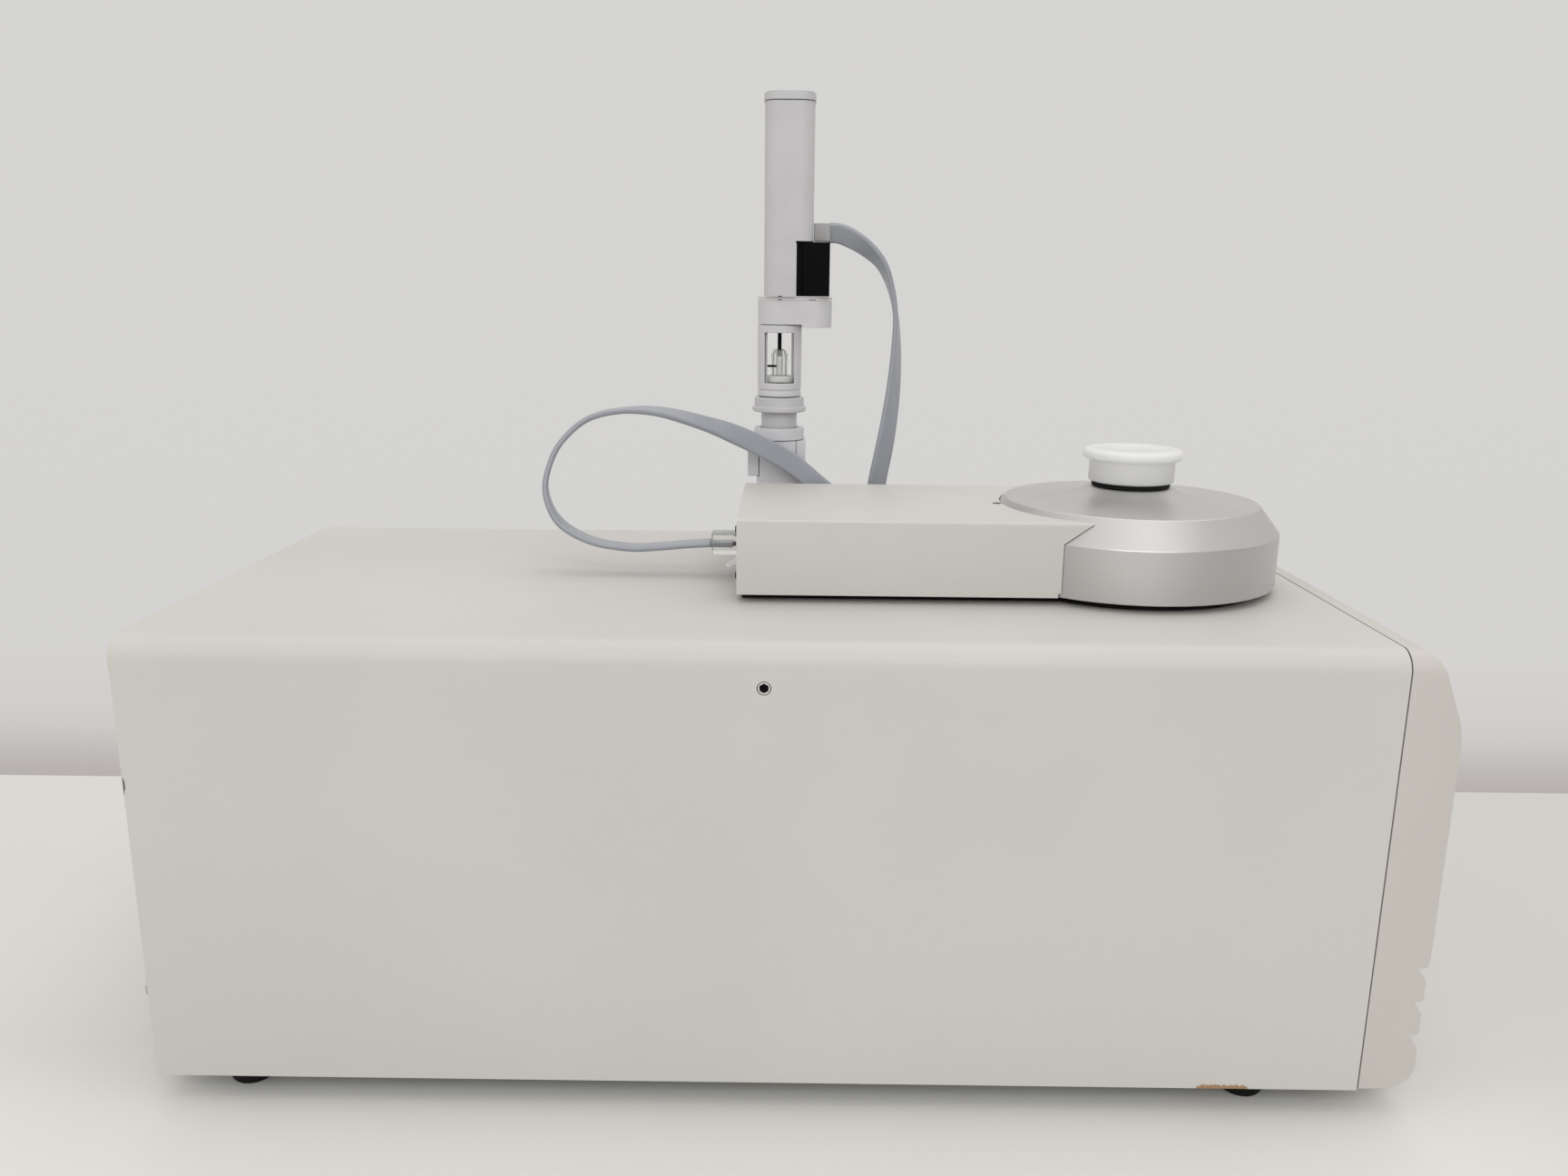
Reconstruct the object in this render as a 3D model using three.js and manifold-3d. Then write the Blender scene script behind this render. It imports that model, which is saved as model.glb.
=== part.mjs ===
// Bench calorimeter cell unit with a stirred titration pipette standing in its rest.
// Millimetres, +Z up. +X points to the front of the instrument, -Y is its left side.
// The origin is on the bench, below the middle of the instrument.

import * as THREE from "three";
import { mergeVertices } from "three/addons/utils/BufferGeometryUtils.js";
import Module from "manifold-3d";

const wasm = await Module();
wasm.setup();

// ---------------------------------------------------------------- driving dimensions

const GAP = 0.3; // clearance kept between two pieces that touch

const REAR_X = -227.8; // rear edge of the cover
const COVER_LENGTH = 439;
const UNIT_LENGTH = 459.1; // cover and front panel together
const WIDTH = 211;
const HALF_WIDTH = WIDTH / 2;
const FOOT_HEIGHT = 9.5;
const COVER_HEIGHT = 166.2;
const DECK_Z = FOOT_HEIGHT + COVER_HEIGHT; // top face of the cover
const SEAM_X = REAR_X + COVER_LENGTH;
const FRONT_X = REAR_X + UNIT_LENGTH;
const SHEET = 2; // steel sheet of the cover and the rear panel
const BEND = 8; // outside radius of the cover's two long bends
const PAN_SHEET = 1.6;

const FOOT_RADIUS = 8;
const FOOT_X = [REAR_X + 28.5, REAR_X + 402.5];
const FOOT_Y = HALF_WIDTH - 16;
const COVER_SCREW = { x: REAR_X + 221.7, z: 160.6, radius: 2.2 };
const PANEL_X = [REAR_X + 1.2, REAR_X + 1.2 + SHEET]; // the rear panel's two faces
const REAR_SCREW = { y: 97.5, z: 41, proud: 3.5, radius: 3 };

const PORT_X = REAR_X + 369.1; // axis of the cell port
const PORT_RADIUS = 58.7;
const ARM_REAR_X = REAR_X + 209.7;
const ARM_HALF_WIDTH = 46.8;
const ARM_TOP_Z = DECK_Z + 32.1;
const ARM_SHEET = 1.5;
const ARM_FLANGE_Y = 34; // the arm's lower edges are folded in as far as this
const ARM_FLOOR_Z = DECK_Z + 3.2; // underside of the arm, on its gasket

const SYRINGE = { x: REAR_X + 224.2, y: 69.5 }; // axis of the syringe and its rest
const STIR_MOTOR_X = SYRINGE.x + 14.6;
const HEAD_Z = [275.7, 287.6];
const TUBE_Z = [289.4, 371];
const MOTOR_TOP_Z = 312.9;

const FAN = { y: 48, z: 104, size: 80, depth: 25 };
const INLET = { y: -58, z: 62, width: 30, height: 64 };
const DATA_SOCKET = { y: -12, z: 50, width: 16, height: 15 };

const CABLE_WIDTH = 9.2;
const CABLE_THICKNESS = 2.4;

// The flat cable's route from the pipette to the arm: a point on its centreline, then the
// direction across its width there.
const CABLE_ROUTE = [
  [19.4, 69.5, 317, 0, -0.35, 0.94],
  [22.4, 69.5, 316.8, 0, -0.37, 0.93],
  [26.5, 69.5, 315.4, 0.1, -0.42, 0.9],
  [34.3, 70.5, 310.9, 0.3, -0.68, 0.65],
  [41.7, 71.5, 303.9, 0.28, -0.92, 0.25],
  [46.4, 72.5, 293.6, 0.1, -0.99, 0.05],
  [49, 72.5, 281.6, -0.1, -1, 0],
  [49.6, 71.5, 268.7, -0.35, -0.93, 0],
  [48.9, 69.5, 251.2, -0.6, -0.8, 0],
  [47, 66.5, 234.9, -0.78, -0.6, 0.1],
  [44.8, 64, 221.6, -0.88, -0.45, 0.1],
  [42, 62.5, 206.8, -0.9, -0.4, 0.1],
  [41, 62, 196, -1, 0, 0],
  [39.7, 57.5, 190, -0.76, 0.5, -0.44],
  [33.9, 53, 191.9, -0.5, 0, -0.87],
  [25, 52.8, 198, -0.5, 0, -0.87],
  [15, 52.6, 205.6, -0.52, -0.1, -0.85],
  [1.9, 51.6, 216.3, -0.48, -0.2, -0.85],
  [-17.2, 46.5, 227, -0.4, -0.35, -0.85],
  [-34.9, 40.5, 234.4, -0.15, -0.86, -0.48],
  [-55.5, 32.5, 240.4, 0, -0.98, -0.18],
  [-69.6, 26.5, 241.3, 0, -1, 0],
  [-81, 21.5, 239.3, 0, -1, 0],
  [-88, 17.5, 235.4, 0, -1, 0],
  [-95.3, 12.5, 227.4, 0.1, -1, 0],
  [-98.9, 9.5, 219, 0.15, -1, 0],
  [-100.1, 7, 211.2, 0.15, -1, 0],
  [-97.7, 4.5, 202.6, 0.1, -1, 0],
  [-92.7, 3, 196, 0, -1, 0],
  [-80.2, 1.8, 189.5, 0, -1, 0],
  [-62.8, 1.1, 187, 0, -1, 0],
  [-53.3, 0.6, 187.6, 0, -1, 0],
  [-40, 0.2, 188.9, 0, -1, 0],
  [-30.4, 0, 189.6, 0, -1, 0],
];

// ---------------------------------------------------------------- solid modelling helpers

// A closed three.js geometry as a solid whose faces point out.
function solid(geometry) {
  const bare = geometry.index ? geometry.toNonIndexed() : geometry.clone();
  bare.deleteAttribute("normal");
  bare.deleteAttribute("uv");
  const merged = mergeVertices(bare, 1e-4);
  const vertProperties = merged.attributes.position.array;
  const build = (triVerts) => new wasm.Manifold(new wasm.Mesh({ numProp: 3, vertProperties, triVerts }));
  const triangles = new Uint32Array(merged.index.array);
  const made = build(triangles);
  return made.volume() > 0 ? made : build(triangles.reverse());
}

const join = (first, ...others) => others.reduce((sum, other) => sum.add(other), first);
const cut = (first, ...others) => others.reduce((rest, other) => rest.subtract(other), first);

function block([x0, x1], [y0, y1], [z0, z1]) {
  const box = new THREE.BoxGeometry(x1 - x0, y1 - y0, z1 - z0);
  return solid(box.translate((x0 + x1) / 2, (y0 + y1) / 2, (z0 + z1) / 2));
}

// A cylinder or cone along Z, from height z0 to z1, with radii r0 and r1.
function post(x, y, [z0, z1], r0, r1 = r0, sides = 24) {
  const cone = new THREE.CylinderGeometry(r1, r0, z1 - z0, sides);
  return solid(cone.rotateX(Math.PI / 2).translate(x, y, (z0 + z1) / 2));
}

// The same along X, from x0 to x1.
function barrel([x0, x1], y, z, r0, r1 = r0, sides = 24) {
  const cone = new THREE.CylinderGeometry(r1, r0, x1 - x0, sides);
  return solid(cone.rotateZ(-Math.PI / 2).translate((x0 + x1) / 2, y, z));
}

// The same along Y, from y0 to y1.
function crossBarrel(x, [y0, y1], z, r0, r1 = r0, sides = 24) {
  const cone = new THREE.CylinderGeometry(r1, r0, y1 - y0, sides);
  return solid(cone.translate(x, (y0 + y1) / 2, z));
}

// A turned piece about a vertical axis. The profile is [radius, height] points that close on
// themselves, or that start and end on the axis.
function turned(x, y, profile, sides = 32) {
  const onAxis = profile[0][0] === 0;
  const points = (onAxis ? profile : [...profile, profile[0]]).map(([r, z]) => new THREE.Vector2(r, z));
  return solid(new THREE.LatheGeometry(points, sides).rotateX(Math.PI / 2).translate(x, y, 0));
}

const extruded = (shape, depth, curveSegments = 6) =>
  new THREE.ExtrudeGeometry(shape, { depth, curveSegments, bevelEnabled: false });

// Prisms of a flat outline: drawn in X and Y, in Y and Z, or in X and Z.
const plateZ = (shape, [z0, z1], segments) => solid(extruded(shape, z1 - z0, segments).translate(0, 0, z0));

function plateX(shape, [x0, x1], segments) {
  const turn = new THREE.Matrix4().makeBasis(
    new THREE.Vector3(0, 1, 0),
    new THREE.Vector3(0, 0, 1),
    new THREE.Vector3(1, 0, 0),
  );
  return solid(extruded(shape, x1 - x0, segments).applyMatrix4(turn).translate(x0, 0, 0));
}

function plateY(shape, [y0, y1], segments) {
  return solid(extruded(shape, y1 - y0, segments).rotateX(Math.PI / 2).translate(0, y1, 0));
}

const polygon = (points) => new THREE.Shape(points.map(([a, b]) => new THREE.Vector2(a, b)));

// A rectangle from a0 to a1 and b0 to b1, its low corners and high corners rounded.
function rounded([a0, a1], [b0, b1], low, high = low) {
  const shape = new THREE.Shape();
  const corner = (a, b, radius, from) => {
    if (radius > 0) shape.absarc(a, b, radius, from, from + Math.PI / 2, false);
    else shape.lineTo(a, b);
  };
  shape.moveTo(a0 + low, b0);
  corner(a1 - low, b0 + low, low, -Math.PI / 2);
  corner(a1 - high, b1 - high, high, 0);
  corner(a0 + high, b1 - high, high, Math.PI / 2);
  corner(a0 + low, b0 + low, low, Math.PI);
  return shape;
}

// The belt-like outline round two circles in the plane of X and Y.
function aroundCircles(x0, r0, x1, r1, y) {
  const lean = Math.acos((r0 - r1) / (x1 - x0));
  const shape = new THREE.Shape();
  shape.absarc(x1, y, r1, -lean, lean, false);
  shape.absarc(x0, y, r0, lean, 2 * Math.PI - lean, false);
  return shape;
}

// ---------------------------------------------------------------- the group and its finishes

const group = new THREE.Group();

const finish = (color, roughness, metalness = 0, opacity = 1) => ({
  color,
  roughness,
  metalness,
  opacity,
  transparent: opacity < 1,
});
const PAINT = finish(0xc9c6be, 0.55);
const MOULDING = finish(0xc4c1b9, 0.5);
const SATIN_METAL = finish(0xc6c6c8, 0.35, 0.9);
const BARE_STEEL = finish(0xa5a6a8, 0.35, 1);
const ANODISED = finish(0xbcbbbc, 0.4, 0.4);
const BLACK_PLASTIC = finish(0x111111, 0.5);
const BLACK_RUBBER = finish(0x161616, 0.85);
const WHITE_PLASTIC = finish(0xecebe8, 0.35);
const CLEAR_PLASTIC = finish(0xdfe3e6, 0.1, 0, 0.4);
const GLASS = finish(0xe8eef0, 0.02, 0, 0.3);
const CABLE_GREY = finish(0x9c9fa6, 0.45);
const BOARD_GREEN = finish(0x1f5a36, 0.6);
const GOLD = finish(0xb58a3c, 0.3, 1);
const CERAMIC = finish(0xe6e3da, 0.7);
const STEEL_ZINC = finish(0xa9aaa6, 0.4, 0.8);

function place(name, made, look) {
  const { vertProperties, triVerts } = made.getMesh();
  const indexed = new THREE.BufferGeometry();
  indexed.setAttribute("position", new THREE.BufferAttribute(vertProperties, 3));
  indexed.setIndex(new THREE.BufferAttribute(triVerts, 1));
  const geometry = indexed.toNonIndexed();
  geometry.computeVertexNormals();
  const mesh = new THREE.Mesh(geometry, new THREE.MeshStandardMaterial(look));
  mesh.name = name;
  group.add(mesh);
}

// ---------------------------------------------------------------- case

// The cover is one bent sheet: top and two sides, open at the front, the rear and below.
function addCover() {
  const REAR_STEP = { back: 0.3, drop: 11 }; // the sides stop short of the top's rear edge
  const outside = rounded([-HALF_WIDTH, HALF_WIDTH], [FOOT_HEIGHT, DECK_Z], 0, BEND);
  const inside = rounded(
    [-HALF_WIDTH + SHEET, HALF_WIDTH - SHEET],
    [FOOT_HEIGHT - 1, DECK_Z - SHEET],
    0,
    BEND - SHEET,
  );
  const shell = cut(
    plateX(outside, [REAR_X, SEAM_X]),
    plateX(inside, [REAR_X - 1, SEAM_X + 1]),
    block([REAR_X - 1, REAR_X + REAR_STEP.back], [-WIDTH, WIDTH], [0, DECK_Z - REAR_STEP.drop]),
  );
  const screwHoles = crossBarrel(COVER_SCREW.x, [-WIDTH, WIDTH], COVER_SCREW.z, COVER_SCREW.radius + GAP);
  const portHole = post(PORT_X, 0, [DECK_Z - 5, DECK_Z + 5], 44, 44, 48);
  const wireHole = block([ARM_REAR_X + 30, ARM_REAR_X + 50], [-6, 6], [DECK_Z - 5, DECK_Z + 5]);
  const restHole = post(SYRINGE.x, SYRINGE.y, [DECK_Z - 5, DECK_Z + 5], 5);
  place("cover", cut(shell, screwHoles, portHole, wireHole, restHole), PAINT);
}

// The tray under everything: a floor with low walls on four sides, and cooling slots.
function addBasePan() {
  const z0 = FOOT_HEIGHT + GAP;
  const x = [REAR_X + 5.2, SEAM_X - 6];
  const y = HALF_WIDTH - SHEET - GAP;
  const tray = cut(
    block(x, [-y, y], [z0, z0 + 16]),
    block([x[0] + PAN_SHEET, x[1] - PAN_SHEET], [-y + PAN_SHEET, y - PAN_SHEET], [z0 + PAN_SHEET, z0 + 20]),
  );
  const SLOTS = { count: 6, pitch: 12, width: 5, halfLength: 30 };
  const slots = Array.from({ length: SLOTS.count }, (_, i) => {
    const start = -20 + i * SLOTS.pitch;
    return block([start, start + SLOTS.width], [-SLOTS.halfLength, SLOTS.halfLength], [0, z0 + 5]);
  });
  place("base_pan", cut(tray, ...slots), STEEL_ZINC);
}

// The moulded front: a hollow panel with a sloped top edge and three grooves near its foot.
function addFrontPanel() {
  const back = SEAM_X + 0.5;
  const z = (above) => FOOT_HEIGHT + above; // heights above the cover's lower edge
  const x = (behind) => FRONT_X - behind;
  const GROOVE = { depth: 3.6, tops: [50, 36.7, 23.4], lip: 0.8, slope: 5.4 };
  const grooveSteps = GROOVE.tops.flatMap((top) => [
    [x(0.5), z(top)],
    [x(GROOVE.depth), z(top - GROOVE.lip)],
    [x(0.5), z(top - GROOVE.slope)],
  ]);
  const side = new THREE.Shape();
  side.moveTo(back, z(0));
  side.lineTo(back, z(COVER_HEIGHT));
  side.lineTo(x(14.4), z(COVER_HEIGHT));
  side.quadraticCurveTo(x(10.2), z(COVER_HEIGHT - 1.2), x(7.4), z(157.6));
  side.lineTo(x(2), z(143.4));
  side.quadraticCurveTo(x(0.2), z(138.5), x(0), z(131));
  side.lineTo(x(0), z(53));
  grooveSteps.forEach(([px, pz]) => side.lineTo(px, pz));
  side.lineTo(x(0), z(11));
  side.quadraticCurveTo(x(0.2), z(6.5), x(3), z(4.2));
  side.quadraticCurveTo(x(7.5), z(0.3), x(13.3), z(0));
  side.closePath();
  const outline = rounded([-HALF_WIDTH, HALF_WIDTH], [FOOT_HEIGHT, DECK_Z], 1.5, BEND);
  const body = plateY(side, [-HALF_WIDTH, HALF_WIDTH]).intersect(plateX(outline, [back - 1, FRONT_X + 1]));

  const WALL = 3;
  const hollowSide = polygon([
    [back - 1, z(WALL)],
    [back - 1, z(COVER_HEIGHT - WALL)],
    [x(15), z(COVER_HEIGHT - WALL)],
    [x(11), z(156)],
    [x(6.5), z(142)],
    [x(6.5), z(14)],
    [x(11), z(WALL)],
  ]);
  const edge = HALF_WIDTH - WALL;
  const hollow = plateY(hollowSide, [-edge, edge]).intersect(
    plateX(rounded([-edge, edge], [z(WALL), DECK_Z - WALL], 0, BEND - WALL), [back - 2, FRONT_X]),
  );

  // A spigot runs inside the cover's front edge and closes the seam from behind.
  const SPIGOT = { length: 5, wall: 2 };
  const outer = HALF_WIDTH - SHEET - 0.4;
  const inner = outer - SPIGOT.wall;
  const top = DECK_Z - SHEET - 0.4;
  const spigotSide = rounded([-outer, outer], [z(1), top], 0, BEND - SHEET);
  const spigotRoom = rounded([-inner, inner], [z(WALL), top - SPIGOT.wall], 0, BEND - SHEET - SPIGOT.wall);
  const spigot = cut(
    plateX(spigotSide, [SEAM_X - SPIGOT.length, back + 1]),
    plateX(spigotRoom, [SEAM_X - SPIGOT.length - 1, back + 2]),
  );
  place("front_panel", join(cut(body, hollow), spigot), MOULDING);
}

function addFeet() {
  const RIM = 0.8; // bevel round the sole
  const sides = [
    ["left", -FOOT_Y],
    ["right", FOOT_Y],
  ];
  const ends = [
    ["rear", FOOT_X[0]],
    ["front", FOOT_X[1]],
  ];
  for (const [end, x] of ends) {
    for (const [side, y] of sides) {
      const foot = turned(x, y, [
        [0, 0],
        [FOOT_RADIUS - RIM, 0],
        [FOOT_RADIUS, RIM],
        [FOOT_RADIUS + 1, FOOT_HEIGHT],
        [0, FOOT_HEIGHT],
      ], 20);
      place(`foot_${end}_${side}`, foot, BLACK_RUBBER);
    }
  }
}

function addCaseScrews() {
  const { x, z, radius } = COVER_SCREW;
  const HEAD = { thickness: 2.4, socket: 1.8, socketDepth: 2, shank: 1.4, length: 8 };
  for (const [side, sign] of [["left", -1], ["right", 1]]) {
    const face = sign * (HALF_WIDTH - 0.2);
    const span = (...depths) => depths.map((depth) => face - sign * depth).sort((a, b) => a - b);
    const head = cut(
      crossBarrel(x, span(0, HEAD.thickness), z, radius),
      crossBarrel(x, span(-1, HEAD.socketDepth), z, HEAD.socket, HEAD.socket, 6),
    );
    const shank = crossBarrel(x, span(HEAD.thickness - 0.2, HEAD.length), z, HEAD.shank, HEAD.shank, 16);
    place(`cover_screw_${side}`, join(head, shank), BARE_STEEL);
  }
  // Cap screws through the rear panel's lower corners.
  for (const [side, sign] of [["left", -1], ["right", 1]]) {
    const y = sign * REAR_SCREW.y;
    const headX = [REAR_X - REAR_SCREW.proud, PANEL_X[0] - GAP];
    const head = barrel(headX, y, REAR_SCREW.z, REAR_SCREW.radius, REAR_SCREW.radius, 20);
    const socket = barrel([headX[0] - 1, headX[0] + 1.6], y, REAR_SCREW.z, 1.5, 1.5, 6);
    const shank = barrel([headX[1] - 0.1, headX[1] + 4], y, REAR_SCREW.z, 1.5, 1.5, 12);
    place(`rear_screw_${side}`, join(cut(head, socket), shank), BARE_STEEL);
  }
}

// ---------------------------------------------------------------- rear panel and what it carries

function addRearPanel() {
  const edge = HALF_WIDTH - SHEET - GAP;
  const sheet = plateX(rounded([-edge, edge], [FOOT_HEIGHT + 2.6, DECK_Z - SHEET - GAP], 0, 5.5), PANEL_X);
  const through = [PANEL_X[0] - 1, PANEL_X[1] + 1];
  const around = (item, room) => [
    [item.y - item.width / 2 - room, item.y + item.width / 2 + room],
    [item.z - item.height / 2 - room, item.z + item.height / 2 + room],
  ];
  const fanHole = barrel(through, FAN.y, FAN.z, FAN.size / 2 - 3, FAN.size / 2 - 3, 40);
  const inletHole = block(through, ...around(INLET, -2));
  const socketHole = block(through, ...around(DATA_SOCKET, GAP));
  const screwHoles = [-REAR_SCREW.y, REAR_SCREW.y].map((y) => barrel(through, y, REAR_SCREW.z, 2, 2, 16));
  place("rear_panel", cut(sheet, fanHole, inletHole, socketHole, ...screwHoles), PAINT);
}

// Appliance inlet: a flange outside the panel, a deep socket below and a rocker's well above.
function addMainsInlet() {
  const flangeX = [PANEL_X[0] - GAP - 2, PANEL_X[0] - GAP];
  const { y, z, width, height } = INLET;
  const outline = rounded([y - width / 2, y + width / 2], [z - height / 2, z + height / 2], 3);
  const flange = plateX(outline, flangeX, 3);
  const body = block([flangeX[0] + 0.5, PANEL_X[1] + 26], [y - 12.5, y + 12.5], [z - 29, z + 29]);
  const socketOutline = rounded([y - 11, y + 11], [z - 26, z - 8], 1, 4);
  const socket = plateX(socketOutline, [flangeX[0] - 1, flangeX[0] + 17], 3);
  const well = block([flangeX[0] - 1, flangeX[0] + 13], [y - 7, y + 7], [z + 2, z + 26]);
  place("mains_inlet", cut(join(flange, body), socket, well), BLACK_PLASTIC);
  // The rocker turns about a level axis in the well; its face is a shallow V.
  const face = flangeX[0] - 0.6;
  const rocker = polygon([
    [face - 0.9, z + 4.2],
    [face + 1.6, z + 14],
    [face + 0.2, z + 23.8],
    [face + 4.4, z + 23.4],
    [face + 9.4, z + 14],
    [face + 4.4, z + 4.6],
  ]);
  place("power_switch", plateY(rocker, [y - 6.5, y + 6.5]), BLACK_PLASTIC);
}

function addDataSocket() {
  const { y, z, width, height } = DATA_SOCKET;
  const x = [PANEL_X[0] - 1, PANEL_X[1] + 14];
  const shell = block(x, [y - width / 2, y + width / 2], [z - height / 2, z + height / 2]);
  const mouth = block([x[0] - 1, x[0] + 11], [y - 6, y + 6], [z - 5.5, z + 5.5]);
  place("data_socket", cut(shell, mouth), BARE_STEEL);
}

function addFan() {
  const half = FAN.size / 2;
  const bore = half - 2.5;
  const x = [PANEL_X[1] + GAP, PANEL_X[1] + GAP + FAN.depth];
  const HUB = 15;
  const outline = rounded([FAN.y - half, FAN.y + half], [FAN.z - half, FAN.z + half], 4);
  const shroud = cut(plateX(outline, x, 3), barrel([x[0] - 1, x[1] + 1], FAN.y, FAN.z, bore, bore, 40));
  const motorMount = barrel([x[1] - 4, x[1]], FAN.y, FAN.z, HUB, HUB, 24);
  const arms = [0, Math.PI / 2].map((turn) => {
    const arm = new THREE.BoxGeometry(3, 2 * bore + 2, 4).rotateX(Math.PI / 4 + turn);
    return solid(arm.translate(x[1] - 1.5, FAN.y, FAN.z));
  });
  place("fan_frame", join(shroud, motorMount, ...arms), BLACK_PLASTIC);

  const BLADES = 7;
  const bladeLength = bore - HUB - 1;
  const blades = Array.from({ length: BLADES }, (_, i) => {
    const blade = new THREE.BoxGeometry(15, 1.4, bladeLength + 2).rotateZ(0.7);
    blade.translate(0, 0, HUB + bladeLength / 2 - 1).rotateX((i * 2 * Math.PI) / BLADES);
    return solid(blade.translate(x[0] + 10, FAN.y, FAN.z));
  });
  const hub = barrel([x[0] + 2, x[1] - 4 - GAP], FAN.y, FAN.z, HUB, HUB, 24);
  place("fan_rotor", join(hub, ...blades), BLACK_PLASTIC);

  // Finger guard: two rings on a cross of four arms, on the outside of the panel.
  const guardX = [PANEL_X[0] - GAP - 1.6, PANEL_X[0] - GAP];
  const ring = (outer, width) =>
    cut(
      barrel(guardX, FAN.y, FAN.z, outer, outer, 20),
      barrel([guardX[0] - 1, guardX[1] + 1], FAN.y, FAN.z, outer - width, outer - width, 20),
    );
  const spokes = [0, Math.PI / 2].map((turn) => {
    const bar = new THREE.BoxGeometry(guardX[1] - guardX[0], 2 * half - 4, 2).rotateX(Math.PI / 4 + turn);
    return solid(bar.translate((guardX[0] + guardX[1]) / 2, FAN.y, FAN.z));
  });
  place("fan_guard", join(ring(half - 2, 2), ring(22, 2), ...spokes), BARE_STEEL);
}

// ---------------------------------------------------------------- arm and cell port

// The outside of the port cover, as [radius, height] from its foot up to its neck.
const PORT_WALL_Z = DECK_Z + 23.8;
const PORT_RIM = { radius: 50.6, z: DECK_Z + 34.2 };
const PORT_NECK_Z = DECK_Z + 39.6;
const PORT_OUTSIDE = [
  [PORT_RADIUS, ARM_FLOOR_Z],
  [PORT_RADIUS, PORT_WALL_Z],
  [PORT_RIM.radius, PORT_RIM.z],
  [40, DECK_Z + 34.8],
  [30, DECK_Z + 35.6],
  [24, DECK_Z + 36.6],
  [20, DECK_Z + 37.9],
  [17.6, DECK_Z + 39.2],
  [16.9, PORT_NECK_Z],
];
const PORT_BORE = 11.2;

function addArm() {
  const CORNER = 0.9;
  const x = [ARM_REAR_X, PORT_X];
  const profile = rounded([-ARM_HALF_WIDTH, ARM_HALF_WIDTH], [ARM_FLOOR_Z, ARM_TOP_Z], 0, CORNER);
  const outside = plateX(profile, x, 3);
  const insideY = [-ARM_HALF_WIDTH + ARM_SHEET, ARM_HALF_WIDTH - ARM_SHEET];
  const flangeZ = [ARM_FLOOR_Z - 1, ARM_FLOOR_Z + ARM_SHEET];
  const inside = join(
    block([x[0] - 1, x[1] + 1], insideY, [flangeZ[1], ARM_TOP_Z - ARM_SHEET]),
    block([x[0] - 1, x[1] + 1], [-ARM_FLANGE_Y, ARM_FLANGE_Y], [flangeZ[0], flangeZ[1] + 1]),
    block([x[0] - 1, x[0] + ARM_SHEET + GAP], insideY, [flangeZ[0], flangeZ[1] + 1]),
  );
  const SEAT = 0.35; // joint between the arm's sheet and the port cover
  const seat = turned(PORT_X, 0, [
    [0, ARM_FLOOR_Z - 2],
    [PORT_RADIUS + SEAT, ARM_FLOOR_Z - 2],
    [PORT_RADIUS + SEAT, PORT_WALL_Z + SEAT / 2],
    [PORT_RIM.radius + SEAT, PORT_RIM.z + SEAT / 2],
    [0, DECK_Z + 60],
  ], 48);
  const screwHole = post(PORT_X - 54.6, -2, [ARM_TOP_Z - 5, ARM_TOP_Z + 5], 2, 2, 20);
  const NOTCH = { length: 1.7, height: 1.7 };
  const jointX = PORT_X - Math.sqrt(PORT_RADIUS ** 2 - ARM_HALF_WIDTH ** 2);
  const notch = block(
    [jointX - NOTCH.length, jointX + 4],
    [-ARM_HALF_WIDTH - 1, ARM_HALF_WIDTH + 1],
    [ARM_FLOOR_Z - 1, ARM_FLOOR_Z + NOTCH.height],
  );
  place("arm_housing", cut(outside, inside, seat, screwHole, notch), PAINT);

  const plate = block(
    [x[0], x[0] + ARM_SHEET],
    [insideY[0] + GAP, insideY[1] - GAP],
    [ARM_FLOOR_Z, ARM_TOP_Z - ARM_SHEET - GAP],
  );
  const jackHole = block([x[0] - 1, x[0] + 4], [-8.4, 8.4], [179.9, 197.4]);
  place("arm_end_plate", cut(plate, jackHole), PAINT);
}

// A black gasket under the arm's flanges and the port cover's foot, set in from their outline.
function addGasket() {
  const z = [DECK_Z + GAP, ARM_FLOOR_Z - GAP];
  const INSET = { side: 7.5, rear: 1.8, port: 6.1 };
  const RIM = 6;
  const loop = (rim, [z0, z1]) => {
    const halfWidth = ARM_HALF_WIDTH - INSET.side - rim;
    const radius = PORT_RADIUS - INSET.port - rim;
    return join(
      block([ARM_REAR_X + INSET.rear + rim, PORT_X], [-halfWidth, halfWidth], [z0, z1]),
      post(PORT_X, 0, [z0, z1], radius, radius, 40),
    );
  };
  place("arm_gasket", cut(loop(0, z), loop(RIM, [z[0] - 1, z[1] + 1])), BLACK_RUBBER);
}

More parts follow.
